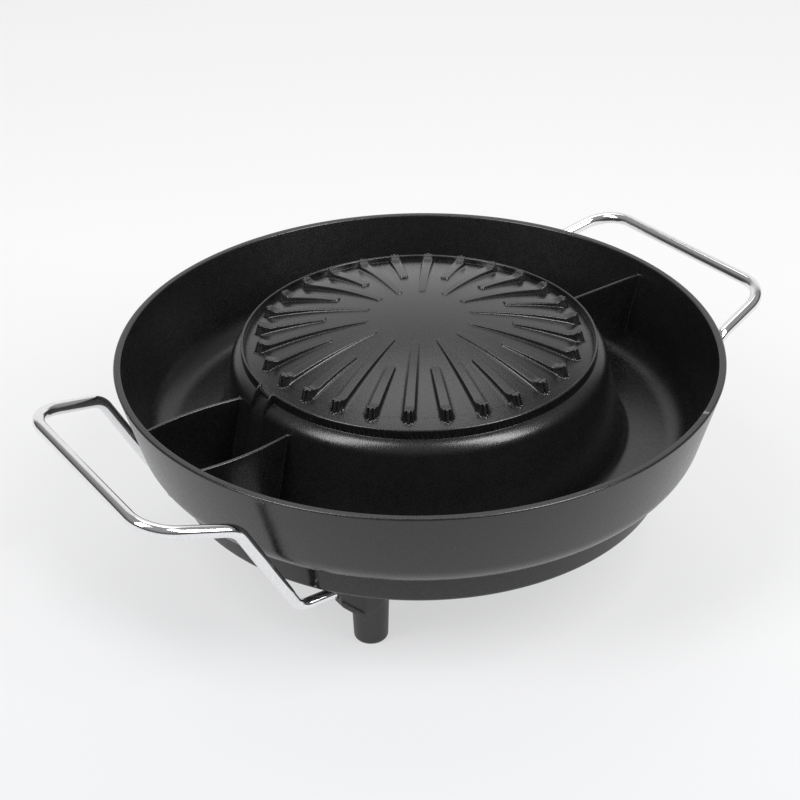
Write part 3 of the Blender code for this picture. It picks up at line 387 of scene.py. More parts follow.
def plate_sector():
    """One sector of the grill plate: a long rib, a short rib and the bays beside them."""
    columns = []
    kinds = ((LONG_RIB_START, LONG_RIB_RISE), (SHORT_RIB_START, SHORT_RIB_RISE))
    for i, (start, rise) in enumerate(kinds):
        turn = RIB_TURN + i * RIB_PITCH
        for hand in (-1, 1):
            x, y, z = sector_half(start, rise, hand)
            side = np.stack([x * math.cos(turn) - y * math.sin(turn),
                             x * math.sin(turn) + y * math.cos(turn), z], axis=2)
            columns.append(side[:, ::-1] if hand < 0 else side[:, 1:])
        columns[-2] = columns[-2][:, 1:] if i else columns[-2]
    top = np.concatenate(columns, axis=1)
    under = []
    for share in UNDERSIDE_SHARES:
        ring = top[-1].copy()
        ring[:, :2] *= share
        ring[:, 2] = crown(np.hypot(ring[:, 0], ring[:, 1])) - PLATE_EDGE_DROP
        under.append(ring)
    grid = np.concatenate([top, np.array(under)])
    rows, count = grid.shape[:2]
    grid[0, :, :2] = 0
    faces = []
    for i in range(rows - 1):
        for j in range(count - 1):
            here, there = i * count + j, (i + 1) * count + j
            faces.append((here, there, there + 1, here + 1))
    mesh = bpy.data.meshes.new("plate_sector")
    mesh.from_pydata(grid.reshape(-1, 3).tolist(), [], faces)
    return linked("plate_sector", mesh)


def tree_node(tree, kind, *links, **settings):
    """A new node with its settings, and its inputs given as (name or number, value or output)."""
    node = tree.nodes.new(kind)
    for name, value in settings.items():
        setattr(node, name, value)
    for name, value in links:
        if isinstance(value, bpy.types.NodeSocket):
            tree.links.new(value, node.inputs[name])
        else:
            node.inputs[name].default_value = value
    return node


def math_node(tree, operation, first, second):
    """The result of a new Math node on two values or outputs."""
    node = tree_node(tree, "ShaderNodeMath", (0, first), (1, second), operation=operation)
    return node.outputs[0]


def mapped(tree, value, span, results=(0.0, 1.0), **settings):
    """The result of a new Map Range node that takes this span of the value to these results."""
    node = tree_node(
        tree, "ShaderNodeMapRange", ("Value", value), ("From Min", span[0]), ("From Max", span[1]),
        ("To Min", results[0]), ("To Max", results[1]), **settings,
    )
    return node.outputs[0]


def geometry_tree(name, sizes):
    """An empty Geometry Nodes tree whose inputs are the geometry and the named sizes."""
    tree = bpy.data.node_groups.new(name, "GeometryNodeTree")
    tree.interface.new_socket("Geometry", in_out="INPUT", socket_type="NodeSocketGeometry")
    tree.interface.new_socket("Geometry", in_out="OUTPUT", socket_type="NodeSocketGeometry")
    for label, kind in sizes:
        tree.interface.new_socket(label, in_out="INPUT", socket_type=f"NodeSocket{kind}")
    return tree, tree.nodes.new("NodeGroupInput"), tree.nodes.new("NodeGroupOutput")


def grown(obj, tree, **values):
    """Runs a tree on an object with these inputs and leaves the plain mesh."""
    modifier = obj.modifiers.new("grown", "NODES")
    modifier.node_group = tree
    for item in tree.interface.items_tree:
        if item.in_out == "INPUT" and item.name in values:
            modifier[item.identifier] = values[item.name]
    return applied(obj)


def round_the_axis_tree():
    """Sets a sector round the Z axis and joins the copies where they meet."""
    sizes = (("Copies", "Int"), ("Join_Distance", "Float"), ("Finish", "Material"))
    tree, given, result = geometry_tree("round_the_axis", sizes)
    turn = math_node(tree, "DIVIDE", math.tau, given.outputs["Copies"])
    index = tree_node(tree, "GeometryNodeInputIndex")
    angle = math_node(tree, "MULTIPLY", index.outputs[0], turn)
    euler = tree_node(tree, "ShaderNodeCombineXYZ", ("Z", angle))
    rotation = tree_node(tree, "FunctionNodeEulerToRotation", (0, euler.outputs[0]))
    points = tree_node(tree, "GeometryNodePoints", ("Count", given.outputs["Copies"]))
    placed = tree_node(
        tree, "GeometryNodeInstanceOnPoints", ("Points", points.outputs[0]),
        ("Instance", given.outputs["Geometry"]), ("Rotation", rotation.outputs[0]),
    )
    real = tree_node(tree, "GeometryNodeRealizeInstances", ("Geometry", placed.outputs[0]))
    merged = tree_node(
        tree, "GeometryNodeMergeByDistance", ("Geometry", real.outputs[0]),
        ("Distance", given.outputs["Join_Distance"]),
    )
    finished = tree_node(
        tree, "GeometryNodeSetMaterial", ("Geometry", merged.outputs[0]),
        ("Material", given.outputs["Finish"]),
    )
    tree.links.new(finished.outputs[0], result.inputs[0])
    return tree


plate = plate_sector()


# Cooking pan, lip, spout and dividers
# A thin lip runs round the plate and turns out at both ends into the thin cheeks of the spout.
# Three dividers stand in the moat, two of them making the small cell under the spout. All are cast
# with the pan, so they flare where they meet its walls and its floor.
SPOUT_WIDTH = 0.0126
SPOUT_TURN = math.radians(-1.2)
SPOUT_SLOPE = math.radians(56)
SPOUT_ROUNDING = 0.002
CHEEK_THICKNESS = 0.0013
CHEEK_LENGTH = 0.0062
CHEEK_FALL = 0.0100
CHEEK_BEND = 0.002
LIP_SUNK = 0.1256
LIP_STEPS = 220
CHEEK_STEPS = 6
BEND_STEPS = 8
CREST_STEPS = 8
DIVIDER_TOP = 0.1231
DIVIDER_THICKNESS = 0.0022
DIVIDER_TURN = math.radians(0.5)
DIVIDER_FLARE = 0.0016
DIVIDER_ROUNDING = 0.0007
FLARE_STEPS = 5
DIVIDER_ROWS = 7
DIVIDER_STEPS = 13
CELL_INNER_HALF = 0.0258
CELL_MIDDLE_HALF = 0.0299
CELL_OUTER_HALF = 0.0272
EMBED = 0.0015


def lip_path():
    """Plan of the lip's middle line: a cheek, round the plate, and the other cheek."""
    middle = LIP_RADIUS - LIP_WIDTH / 2
    beside = (SPOUT_WIDTH + CHEEK_THICKNESS) / 2
    bend_y = beside + CHEEK_BEND
    outward = math.sqrt((middle + CHEEK_BEND) ** 2 - bend_y**2)
    centre = Vector((-outward, bend_y))
    meeting = math.atan2(bend_y, -outward)
    end = -(LIP_RADIUS + CHEEK_LENGTH)
    path = [Vector((end + (centre.x - end) * i / CHEEK_STEPS, beside)) for i in range(CHEEK_STEPS)]
    start_turn = -math.pi / 2
    last_turn = meeting - math.pi
    for i in range(BEND_STEPS + 1):
        angle = start_turn + (last_turn - start_turn) * i / BEND_STEPS
        path.append(centre + CHEEK_BEND * Vector((math.cos(angle), math.sin(angle))))
    mirrored = [Vector((point.x, -point.y)) for point in reversed(path)]
    sweep = [meeting * (1 - 2 * i / LIP_STEPS) for i in range(1, LIP_STEPS)]
    path += [middle * Vector((math.cos(angle), math.sin(angle))) for angle in sweep]
    return path + mirrored


def lip_band():
    path = lip_path()
    rings = []
    for i, point in enumerate(path):
        before = path[max(i - 1, 0)]
        after = path[min(i + 1, len(path) - 1)]
        along = (after - before).normalized()
        side = Vector((-along.y, along.x))
        past = max(0.0, point.length - LIP_RADIUS)
        if point.x > 0:
            past = 0.0
        share = min(past / CHEEK_LENGTH, 1.0)
        half = (LIP_WIDTH + (CHEEK_THICKNESS - LIP_WIDTH) * min(3 * share, 1.0)) / 2
        top = LIP_TOP - CHEEK_FALL * share**2
        across = [-half, -half]
        level = [LIP_SUNK, top - half]
        for j in range(1, CREST_STEPS):
            angle = math.pi * j / CREST_STEPS
            across.append(-half * math.cos(angle))
            level.append(top - half + half * math.sin(angle))
        across += [half, half]
        level += [top - half, LIP_SUNK]
        rings.append([(*(point + side * a), z) for a, z in zip(across, level)])
    return lofted("lip", rings)


def chute():
    """Cutter for the chute down over the island's shoulder."""
    inner = CROWN_EDGE - OVERRUN
    inner_low = float(crown(inner))
    brink_low = float(crown(LIP_RADIUS))
    end = island_wall(UNDERSIDE)
    low = brink_low - (end - LIP_RADIUS) * math.tan(SPOUT_SLOPE)
    half = SPOUT_WIDTH / 2
    outline = rounded([
        (inner, inner_low, 0), (LIP_RADIUS, brink_low, SPOUT_ROUNDING), (end, low, 0),
        (end, LIP_TOP + OVERRUN, 0), (inner, LIP_TOP + OVERRUN, 0),
    ])
    return lofted("chute", [[(-r, y, z) for r, z in outline] for y in (-half, half)])


def divider(name, middle_line):
    """A wall across the moat, flared at both ends and at its foot, with a rounded top."""
    low = MOAT_FLOOR - EMBED
    flat_top = DIVIDER_TOP - DIVIDER_ROUNDING
    fine = np.linspace(0, math.pi / 2, FLARE_STEPS + 1)
    foot_rows = MOAT_FLOOR + DIVIDER_FLARE * (1 - np.cos(fine))
    top_rows = flat_top + DIVIDER_ROUNDING * np.sin(fine)
    wall_rows = np.linspace(foot_rows[-1], flat_top, DIVIDER_ROWS + 1)
    levels = np.concatenate([[low], foot_rows, wall_rows[1:], top_rows[1:]])
    thin = np.concatenate([
        np.zeros(len(levels) - FLARE_STEPS), DIVIDER_ROUNDING * (1 - np.cos(fine[1:])),
    ])
    ends = np.concatenate([[-EMBED], DIVIDER_FLARE * (1 - np.cos(fine))])
    reach_share = np.linspace(0, 1, DIVIDER_STEPS + 1)[1:-1]
    rings = []
    for i in range(2 * len(ends) + len(reach_share)):
        left, right = [], []
        for level, less in zip(levels, thin):
            inner = island_wall(level)
            outer = outer_wall(level) - RIM_WIDTH
            span = outer - inner
            if i < len(ends):
                off = ends[i]
            elif i >= len(ends) + len(reach_share):
                off = span - ends[2 * len(ends) + len(reach_share) - 1 - i]
            else:
                first, last = ends[-1], span - ends[-1]
                off = first + (last - first) * reach_share[i - len(ends)]
            near = max(0.0, 1 - min(off, span - off) / DIVIDER_FLARE)
            foot = max(0.0, 1 - (level - MOAT_FLOOR) / DIVIDER_FLARE)
            flare = 0.0
            for gap in (min(near, 1.0), min(foot, 1.0)):
                flare = max(flare, DIVIDER_FLARE * (1 - math.sqrt(1 - gap**2)))
            half = DIVIDER_THICKNESS / 2 - less + flare
            place = middle_line(inner + off, off / span)
            left.append((place[0], place[1] + half, level))
            right.append((place[0], place[1] - half, level))
        rings.append(left + right[::-1])
    return lofted(name, rings)


def cell_line(hand):
    def line(radius, share):
        bow = CELL_MIDDLE_HALF - (CELL_INNER_HALF + CELL_OUTER_HALF) / 2
        across = CELL_INNER_HALF + (CELL_OUTER_HALF - CELL_INNER_HALF) * share
        across += bow * (1 - (2 * share - 1) ** 2)
        return -math.sqrt(radius**2 - across**2), hand * across
    return line


spout_place = Matrix.Rotation(SPOUT_TURN, 4, "Z")
for spout_piece, operation in ((chute(), "DIFFERENCE"), (lip_band(), "UNION")):
    spout_piece.data.transform(spout_place)
    combine(pan, operation, spout_piece)
middle_lines = (lambda radius, share: (radius, 0.0)), cell_line(-1), cell_line(1)
for middle_line in middle_lines:
    wall = divider("divider", middle_line)
    wall.data.transform(Matrix.Rotation(DIVIDER_TURN, 4, "Z"))
    combine(pan, "UNION", wall)


# Cooking pan, bosses underneath, coat and wear
# Bosses cast under the pan take the feet's screws and the clips' screws, and one holds the probe's
# tube. The sprayed coat is a satin black with a fine grain, rubbed bright at one spot of the rim.
BOSS_LOW = 0.0542
BOSS_RADIUS = 0.007
FOOT_SCREW_HOLE = 0.0023
FOOT_SCREW_DEPTH = 0.0116
FOOT_REACH = 0.09367
FOOT_SPREAD = 0.0849
HANDLE_LEAN = math.radians(2)
CLIP_COUNT = 4
CLIP_RING = 0.078
CLIP_BOSS_LOW = 0.13078
CLIP_BOSS_RADIUS = 0.004
CLIP_SCREW_HOLE = 0.0018
CLIP_SCREW_DEPTH = 0.0056
PROBE_HEIGHT = 0.0592
PROBE_BORE = 0.0038
PROBE_BOSS_HALF = 0.0053
PROBE_BOSS_SPAN = (0.132, 0.144)
SMALL_SEGMENTS = 32
GRAIN_BLEND = 0.2
GRAIN_SPAN = (0.38, 0.62)
FLECK_SPAN = (0.38, 0.46)
COAT_BLACK = (0.0036, 0.0036, 0.0038, 1)
COAT_GREY = (0.0075, 0.0075, 0.0078, 1)
RUBBED_METAL = (0.42, 0.42, 0.43, 1)
RUB_PLACE = (0.0885, -0.1645, 0.1306)
RUB_REACH = 0.006


def cylinder(name, radius, low, high, segments=SMALL_SEGMENTS):
    return turned(name, [(0, low), (radius, low), (radius, high), (0, high)], segments)


def moved(obj, matrix):
    obj.data.transform(matrix)
    return obj


def along_y(obj, x, z):
    """Turns a solid made about Z so that its heights run along +Y, at this x and z."""
    return moved(obj, Matrix.Translation((x, 0, z)) @ Matrix.Rotation(-math.pi / 2, 4, "X"))


def foot_matrices():
    """Each foot's name ending and place, its side arm along +X."""
    places = []
    for side, lean in (("left", math.pi - HANDLE_LEAN), ("right", HANDLE_LEAN)):
        for hand in (-1, 1):
            place = Matrix.Translation((FOOT_REACH, hand * FOOT_SPREAD, 0))
            place = Matrix.Rotation(lean, 4, "Z") @ place
            row = "rear" if place.translation.y > 0 else "front"
            places.append((f"{row}_{side}", place))
    return places


for _, foot_place in foot_matrices():
    spot = Matrix.Translation(foot_place.translation)
    combine(pan, "UNION", moved(cylinder("boss", BOSS_RADIUS, BOSS_LOW, UNDERSIDE + EMBED), spot))
    hole = cylinder("hole", FOOT_SCREW_HOLE, BOSS_LOW - OVERRUN, BOSS_LOW + FOOT_SCREW_DEPTH)
    combine(pan, "DIFFERENCE", moved(hole, spot))
boss_top = float(crown(CLIP_RING, PLATE_THICKNESS)) + EMBED
for quarter in range(CLIP_COUNT):
    spot = Matrix.Rotation(math.tau * (quarter + 0.5) / CLIP_COUNT, 4, "Z")
    spot = spot @ Matrix.Translation((CLIP_RING, 0, 0))
    combine(pan, "UNION", moved(cylinder("boss", CLIP_BOSS_RADIUS, CLIP_BOSS_LOW, boss_top), spot))
    hole = cylinder("hole", CLIP_SCREW_HOLE, CLIP_BOSS_LOW - OVERRUN, CLIP_BOSS_LOW + CLIP_SCREW_DEPTH)
    combine(pan, "DIFFERENCE", moved(hole, spot))
probe_outline = [(-1, 0), (1, 0), (1, 1), (-1, 1)]
probe_plan = [(x * PROBE_BOSS_HALF, PROBE_BOSS_SPAN[y]) for x, y in probe_outline]
probe_boss = lofted("probe_boss", [[(*p, z) for p in probe_plan] for z in (BOSS_LOW, UNDERSIDE + EMBED)])
combine(pan, "UNION", probe_boss)
bore = cylinder("bore", PROBE_BORE, PROBE_BOSS_SPAN[0] - OVERRUN, PROBE_BOSS_SPAN[1] + OVERRUN)
combine(pan, "DIFFERENCE", along_y(bore, 0, PROBE_HEIGHT))


def shader_group(name, sizes, results):
    """An empty shader node group with named inputs (name, value) and outputs (name, kind)."""
    tree = bpy.data.node_groups.new(name, "ShaderNodeTree")
    for label, value in sizes:
        kind = "NodeSocketColor" if isinstance(value, tuple) else "NodeSocketFloat"
        tree.interface.new_socket(label, in_out="INPUT", socket_type=kind).default_value = value
    for label, kind in results:
        tree.interface.new_socket(label, in_out="OUTPUT", socket_type=f"NodeSocket{kind}")
    return tree, tree.nodes.new("NodeGroupInput"), tree.nodes.new("NodeGroupOutput")


def grain_group():
    """Fine grain over a slow unevenness: a height, and a mask from 0 to 1 for colour and gloss."""
    sizes = (("Grain_Scale", 1500.0), ("Wave_Scale", 120.0), ("Wave_Share", 0.5))
    tree, given, result = shader_group("grain", sizes, (("Height", "Float"), ("Mask", "Float")))
    place = tree_node(tree, "ShaderNodeTexCoord")
    fine = tree_node(
        tree, "ShaderNodeTexNoise", ("Vector", place.outputs["Object"]),
        ("Scale", given.outputs["Grain_Scale"]), ("Detail", 2.0), ("Roughness", 0.6),
    )
    wave = tree_node(
        tree, "ShaderNodeTexNoise", ("Vector", place.outputs["Object"]),
        ("Scale", given.outputs["Wave_Scale"]), ("Detail", 3.0), ("Roughness", 0.5),
    )
    height = tree_node(
        tree, "ShaderNodeMix", ("Factor", given.outputs["Wave_Share"]),
        ("A", fine.outputs["Fac"]), ("B", wave.outputs["Fac"]),
    )
    blend = tree_node(
        tree, "ShaderNodeMix", ("Factor", GRAIN_BLEND),
        ("A", fine.outputs["Fac"]), ("B", wave.outputs["Fac"]),
    )
    tree.links.new(height.outputs[0], result.inputs["Height"])
    tree.links.new(mapped(tree, blend.outputs[0], GRAIN_SPAN), result.inputs["Mask"])
    return tree


def wear_group():
    """A scattered mask that fades with distance from one place."""
    sizes = (("X", 0.0), ("Y", 0.0), ("Z", 0.0), ("Reach", 0.01), ("Fleck_Scale", 900.0))
    tree, given, result = shader_group("wear", sizes, (("Mask", "Float"),))
    place = tree_node(tree, "ShaderNodeTexCoord")
    spot = tree_node(tree, "ShaderNodeCombineXYZ", *[(axis, given.outputs[axis]) for axis in "XYZ"])
    apart = tree_node(
        tree, "ShaderNodeVectorMath", (0, place.outputs["Object"]), (1, spot.outputs[0]),
        operation="DISTANCE",
    )
    near = mapped(tree, apart.outputs["Value"], (0.0, given.outputs["Reach"]), (1.0, 0.0))
    flecks = tree_node(
        tree, "ShaderNodeTexNoise", ("Vector", place.outputs["Object"]),
        ("Scale", given.outputs["Fleck_Scale"]), ("Detail", 4.0), ("Roughness", 0.7),
    )
    scattered = math_node(tree, "MULTIPLY", near, flecks.outputs["Fac"])
    tree.links.new(mapped(tree, scattered, FLECK_SPAN), result.inputs["Mask"])
    return tree


GRAIN = grain_group()
WEAR = wear_group()


def finish_material(name, dark, light, roughness, grain, bump, metallic=0.0, **settings):
    """A finish that varies between two colours and two roughnesses with the grain, and its bump.

    The grain is its scale, the scale of its slow unevenness and the share of that in the height; the
    bump is its strength and its distance.
    """
    made = bpy.data.materials.new(name)
    made.use_nodes = True
    tree = made.node_tree
    shader = tree.nodes["Principled BSDF"]
    shader.inputs["Metallic"].default_value = metallic
    for socket, value in settings.items():
        shader.inputs[socket.replace("_", " ")].default_value = value
    texture = tree.nodes.new("ShaderNodeGroup")
    texture.node_tree = GRAIN
    for socket, value in zip(("Grain_Scale", "Wave_Scale", "Wave_Share"), grain):
        texture.inputs[socket].default_value = value
    colour = tree_node(
        tree, "ShaderNodeMix", (0, texture.outputs["Mask"]), (6, dark), (7, light), data_type="RGBA"
    )
    gloss = mapped(tree, texture.outputs["Mask"], (0.0, 1.0), roughness)
    relief = tree_node(
        tree, "ShaderNodeBump", ("Height", texture.outputs["Height"]), ("Strength", bump[0]),
        ("Distance", bump[1]),
    )
    tree.links.new(colour.outputs[2], shader.inputs["Base Color"])
    tree.links.new(gloss, shader.inputs["Roughness"])
    tree.links.new(relief.outputs[0], shader.inputs["Normal"])
    made.diffuse_color = dark
    return made


def add_wear(material, place, reach, colour, roughness, metallic):
    """Lays worn flecks over a finish, through its colour, roughness and metallic inputs."""
    tree = material.node_tree
    shader = tree.nodes["Principled BSDF"]
    flecks = tree.nodes.new("ShaderNodeGroup")
    flecks.node_tree = WEAR
    for socket, value in zip(("X", "Y", "Z", "Reach"), (*place, reach)):
        flecks.inputs[socket].default_value = value
    mask = flecks.outputs["Mask"]
    under = shader.inputs["Base Color"].links[0].from_socket
    laid = tree_node(tree, "ShaderNodeMix", (0, mask), (6, under), (7, colour), data_type="RGBA")
    tree.links.new(laid.outputs[2], shader.inputs["Base Color"])
    for name, value, base in (("Roughness", roughness, None), ("Metallic", metallic, 0.0)):
        if shader.inputs[name].links:
            base = shader.inputs[name].links[0].from_socket
        laid = tree_node(tree, "ShaderNodeMix", (0, mask), (2, base), (3, value))
        tree.links.new(laid.outputs[0], shader.inputs[name])


def smooth(obj, material):
    """One material, smooth faces, and sharp edges where the surface really turns."""
    obj.data.materials.clear()
    obj.data.materials.append(material)
    obj.data.polygons.foreach_set("material_index", [0] * len(obj.data.polygons))
    obj.data.shade_smooth()
    obj.data.set_sharp_from_angle(angle=SMOOTH_ANGLE)
    return obj


coat = finish_material(
    "non_stick_coat", COAT_BLACK, COAT_GREY, roughness=(0.22, 0.30), grain=(1300.0, 160.0, 0.05),
    bump=(0.36, 0.0002), Specular_IOR_Level=0.6,
)
add_wear(coat, RUB_PLACE, RUB_REACH, RUBBED_METAL, roughness=0.35, metallic=1.0)
grown(plate, round_the_axis_tree(), Copies=RIB_COUNT // 2, Join_Distance=JOIN_DISTANCE, Finish=coat)
combine(pan, "UNION", plate)
pan.name = "pan_casting"
smooth(pan, coat)
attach(pan, "root")
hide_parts("cooking_pan")


# Base dish
# A shallow pressed steel dish in gloss black enamel closes the pot underneath. Its skirt stands
# just inside the pan's flat underside, and its edges are rolled over a few millimetres.
DISH_LOW = 0.0493
DISH_TOP = 0.0691
DISH_RADIUS = 0.157
DISH_LOW_RADIUS = 0.1562
DISH_CORNER = 0.003
DISH_SHEET = 0.001
INLET_HEIGHT = PROBE_HEIGHT
INLET_BORES = ((-0.016, 0.0048), (0.016, 0.0048), (0, 0.0038), (-0.0262, 0.0018), (0.0262, 0.0018))
ENAMEL_BLACK = (0.014, 0.014, 0.015, 1)
ENAMEL_GREY = (0.020, 0.020, 0.021, 1)


def inlet_bores(first, last):
    for x, radius in INLET_BORES:
        yield along_y(cylinder("bore", radius, first, last), x, INLET_HEIGHT)


dish = turned("base_dish_skirt", rounded([
    (0, DISH_LOW, 0),
    (DISH_LOW_RADIUS, DISH_LOW, DISH_CORNER),
    (DISH_RADIUS, DISH_TOP, DISH_SHEET / 3),
    (DISH_RADIUS - DISH_SHEET, DISH_TOP, DISH_SHEET / 3),
    (DISH_LOW_RADIUS - DISH_SHEET, DISH_LOW + DISH_SHEET, DISH_CORNER - DISH_SHEET),
    (0, DISH_LOW + DISH_SHEET, 0),
]))
combine(dish, "DIFFERENCE", *inlet_bores(DISH_RADIUS / 2, DISH_RADIUS + OVERRUN))
for _, foot_place in foot_matrices():
    hole = cylinder("hole", FOOT_SCREW_HOLE, DISH_LOW - OVERRUN, DISH_LOW + DISH_SHEET + OVERRUN)
    combine(dish, "DIFFERENCE", moved(hole, Matrix.Translation(foot_place.translation)))
enamel = finish_material(
    "gloss_enamel", ENAMEL_BLACK, ENAMEL_GREY, roughness=(0.14, 0.20), grain=(500.0, 60.0, 0.7),
    bump=(0.12, 0.0003),
)
smooth(dish, enamel)
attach(dish, "root")
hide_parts("base_dish")


# Feet
# Four moulded phenolic legs, each with a side arm round a rod end. Leg, collar and arm are joined
# by a fine remesh and smoothed, which gives the moulding's soft inner corners; the well for the
# long screw, the socket for the rod and the well for the short screw are cut after that.
FOOT_HEIGHT = 0.0490
LEG_TOP_RADIUS = 0.0120
LEG_LOW_RADIUS = 0.0103
LEG_ROUNDING = 0.0025
LEG_TOP_ROUNDING = 0.0006
LEG_SEGMENTS = 64
COLLAR_ROWS = 60
COLLAR_STEP = 0.0005
COLLAR_HEIGHT = 0.0283
COLLAR_SLANT = 0.0077
COLLAR_SPREAD = 1.2
ARM_LENGTH = 0.0242
ARM_WIDTH = 0.016
ARM_ROOT_HEIGHT = 0.0192
ARM_TIP_HEIGHT = 0.0359
ARM_ROUNDING = 0.003
ARM_WEB_INSET = 0.0012
ARM_FLANGE_HEIGHT = 0.0045
ARM_FLANGE_ROUNDING = 0.001
FOOT_SCREW_SEAT = 0.0291
FOOT_WELL_RADIUS = 0.0041
ROD_RADIUS = 0.004
ROD_HEIGHT = 0.0423
ROD_INSERT = 0.018
ROD_SOCKET = 0.0043
SEAT_GAP = 0.0003
HANDLE_SCREW_PLACE = 0.0092
HANDLE_SCREW_SEAT = 0.0358
HANDLE_SCREW_WELL = 0.0036
HANDLE_SCREW_HOLE = 0.0019
MOULD_VOXEL = 0.0006
SOFTENING = 0.5
SOFTENING_ROUNDS = 4
PHENOLIC_DARK = (0.030, 0.030, 0.031, 1)
PHENOLIC_LIGHT = (0.040, 0.040, 0.041, 1)


def joined(name, objects):
    work = bmesh.new()
    for obj in objects:
        work.from_mesh(obj.data)
        bpy.data.objects.remove(obj)
    mesh = bpy.data.meshes.new(name)
    work.to_mesh(mesh)
    work.free()
    return linked(name, mesh)


def slab(name, outline, width):
    """An outline in the XZ plane, made a solid of this width, centred on Y."""
    return lofted(name, [[(x, y, z) for x, z in outline] for y in (-width / 2, width / 2)])


def moulded_foot():
    leg = turned("leg", rounded([
        (0, 0, 0), (LEG_LOW_RADIUS, 0, LEG_ROUNDING), (LEG_TOP_RADIUS, FOOT_HEIGHT, LEG_TOP_ROUNDING),
        (0, FOOT_HEIGHT, 0),
    ]), LEG_SEGMENTS)
    rings = []
    for height in np.linspace(COLLAR_HEIGHT - 2 * COLLAR_SLANT, FOOT_HEIGHT, COLLAR_ROWS):
        ring = []
        for i in range(LEG_SEGMENTS):
            angle = math.tau * i / LEG_SEGMENTS
            line = COLLAR_HEIGHT - COLLAR_SLANT * math.cos(angle)
            share = min(max((height - line) / COLLAR_STEP / 2, 0.0), 1.0)
            radius = LEG_LOW_RADIUS + (LEG_TOP_RADIUS - LEG_LOW_RADIUS) * height / FOOT_HEIGHT
            radius += COLLAR_STEP * (share - 0.5) * COLLAR_SPREAD
            ring.append((radius * math.cos(angle), radius * math.sin(angle), height))
        rings.append(ring)
    collar = lofted("collar", rings)
    slope = (ARM_TIP_HEIGHT - ARM_ROOT_HEIGHT) / ARM_LENGTH
    low = ARM_ROOT_HEIGHT - LEG_TOP_RADIUS * slope
    web = slab("web", rounded([
        (0, low, 0), (ARM_LENGTH, ARM_TIP_HEIGHT, ARM_ROUNDING),
        (ARM_LENGTH, FOOT_HEIGHT, ARM_ROUNDING), (0, FOOT_HEIGHT, 0),
    ]), ARM_WIDTH - 2 * ARM_WEB_INSET)
    flange = slab("flange", rounded([
        (0, low, 0), (ARM_LENGTH, ARM_TIP_HEIGHT, ARM_ROUNDING),
        (ARM_LENGTH, ARM_TIP_HEIGHT + ARM_FLANGE_HEIGHT, ARM_FLANGE_ROUNDING),
        (0, low + ARM_FLANGE_HEIGHT, 0),
    ]), ARM_WIDTH)
    foot = joined("foot_moulding", [leg, collar, web, flange])
    melt = foot.modifiers.new("melt", "REMESH")
    melt.mode = "VOXEL"
    melt.voxel_size = MOULD_VOXEL
    soften = foot.modifiers.new("soften", "SMOOTH")
    soften.factor = SOFTENING
    soften.iterations = SOFTENING_ROUNDS
    applied(foot)
    well = cylinder("well", FOOT_WELL_RADIUS, -OVERRUN, FOOT_SCREW_SEAT)
    hole = cylinder("hole", FOOT_SCREW_HOLE, FOOT_SCREW_SEAT - OVERRUN, FOOT_HEIGHT + OVERRUN)
    combine(foot, "DIFFERENCE", well, hole)
    socket = cylinder("socket", ROD_SOCKET, -SEAT_GAP, ROD_INSERT + OVERRUN)
    along_arm = Matrix.Translation((ARM_LENGTH - ROD_INSERT, 0, ROD_HEIGHT))
    combine(foot, "DIFFERENCE", moved(socket, along_arm @ Matrix.Rotation(math.pi / 2, 4, "Y")))
    spot = Matrix.Translation((ARM_LENGTH - HANDLE_SCREW_PLACE, 0, 0))
    well = cylinder("well", HANDLE_SCREW_WELL, LEG_TOP_RADIUS, HANDLE_SCREW_SEAT)
    hole = cylinder("hole", HANDLE_SCREW_HOLE, HANDLE_SCREW_SEAT - OVERRUN, ROD_HEIGHT)
    combine(foot, "DIFFERENCE", moved(well, spot), moved(hole, spot))
    return foot


phenolic = finish_material(
    "moulded_phenolic", PHENOLIC_DARK, PHENOLIC_LIGHT, roughness=(0.38, 0.48),
    grain=(2200.0, 90.0, 0.4), bump=(0.2, 0.0002),
)
first_foot = smooth(moulded_foot(), phenolic)
for ending, foot_place in foot_matrices():
    foot = linked(f"leg_{ending}", first_foot.data.copy())
    foot.data.transform(foot_place)
    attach(foot, "root")
    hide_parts(f"foot_{ending}")
bpy.data.objects.remove(first_foot)


# Handles
# Each handle is one length of bright chromed 8 mm rod, bent cold: in under the pan's edge, up
# past its wall and out into a flat grip. Geometry Nodes round the corners of its line and draw
# the rod along it.
GRIP_REACH = 0.23117
GRIP_SPREAD = 0.076
GRIP_HEIGHT = 0.1240
HIGH_REACH = 0.17977
HIGH_HEIGHT = 0.1114
LOW_REACH = 0.14287
GRIP_BEND = 0.024
HIGH_BEND = 0.015
LOW_BEND = 0.011
ROD_SIDES = 40
ROD_BEND_STEPS = 14
HANDLE_SCREW_REACH = 0.0076
CHROME_DARK = (0.80, 0.80, 0.81, 1)
CHROME_LIGHT = (0.88, 0.88, 0.89, 1)


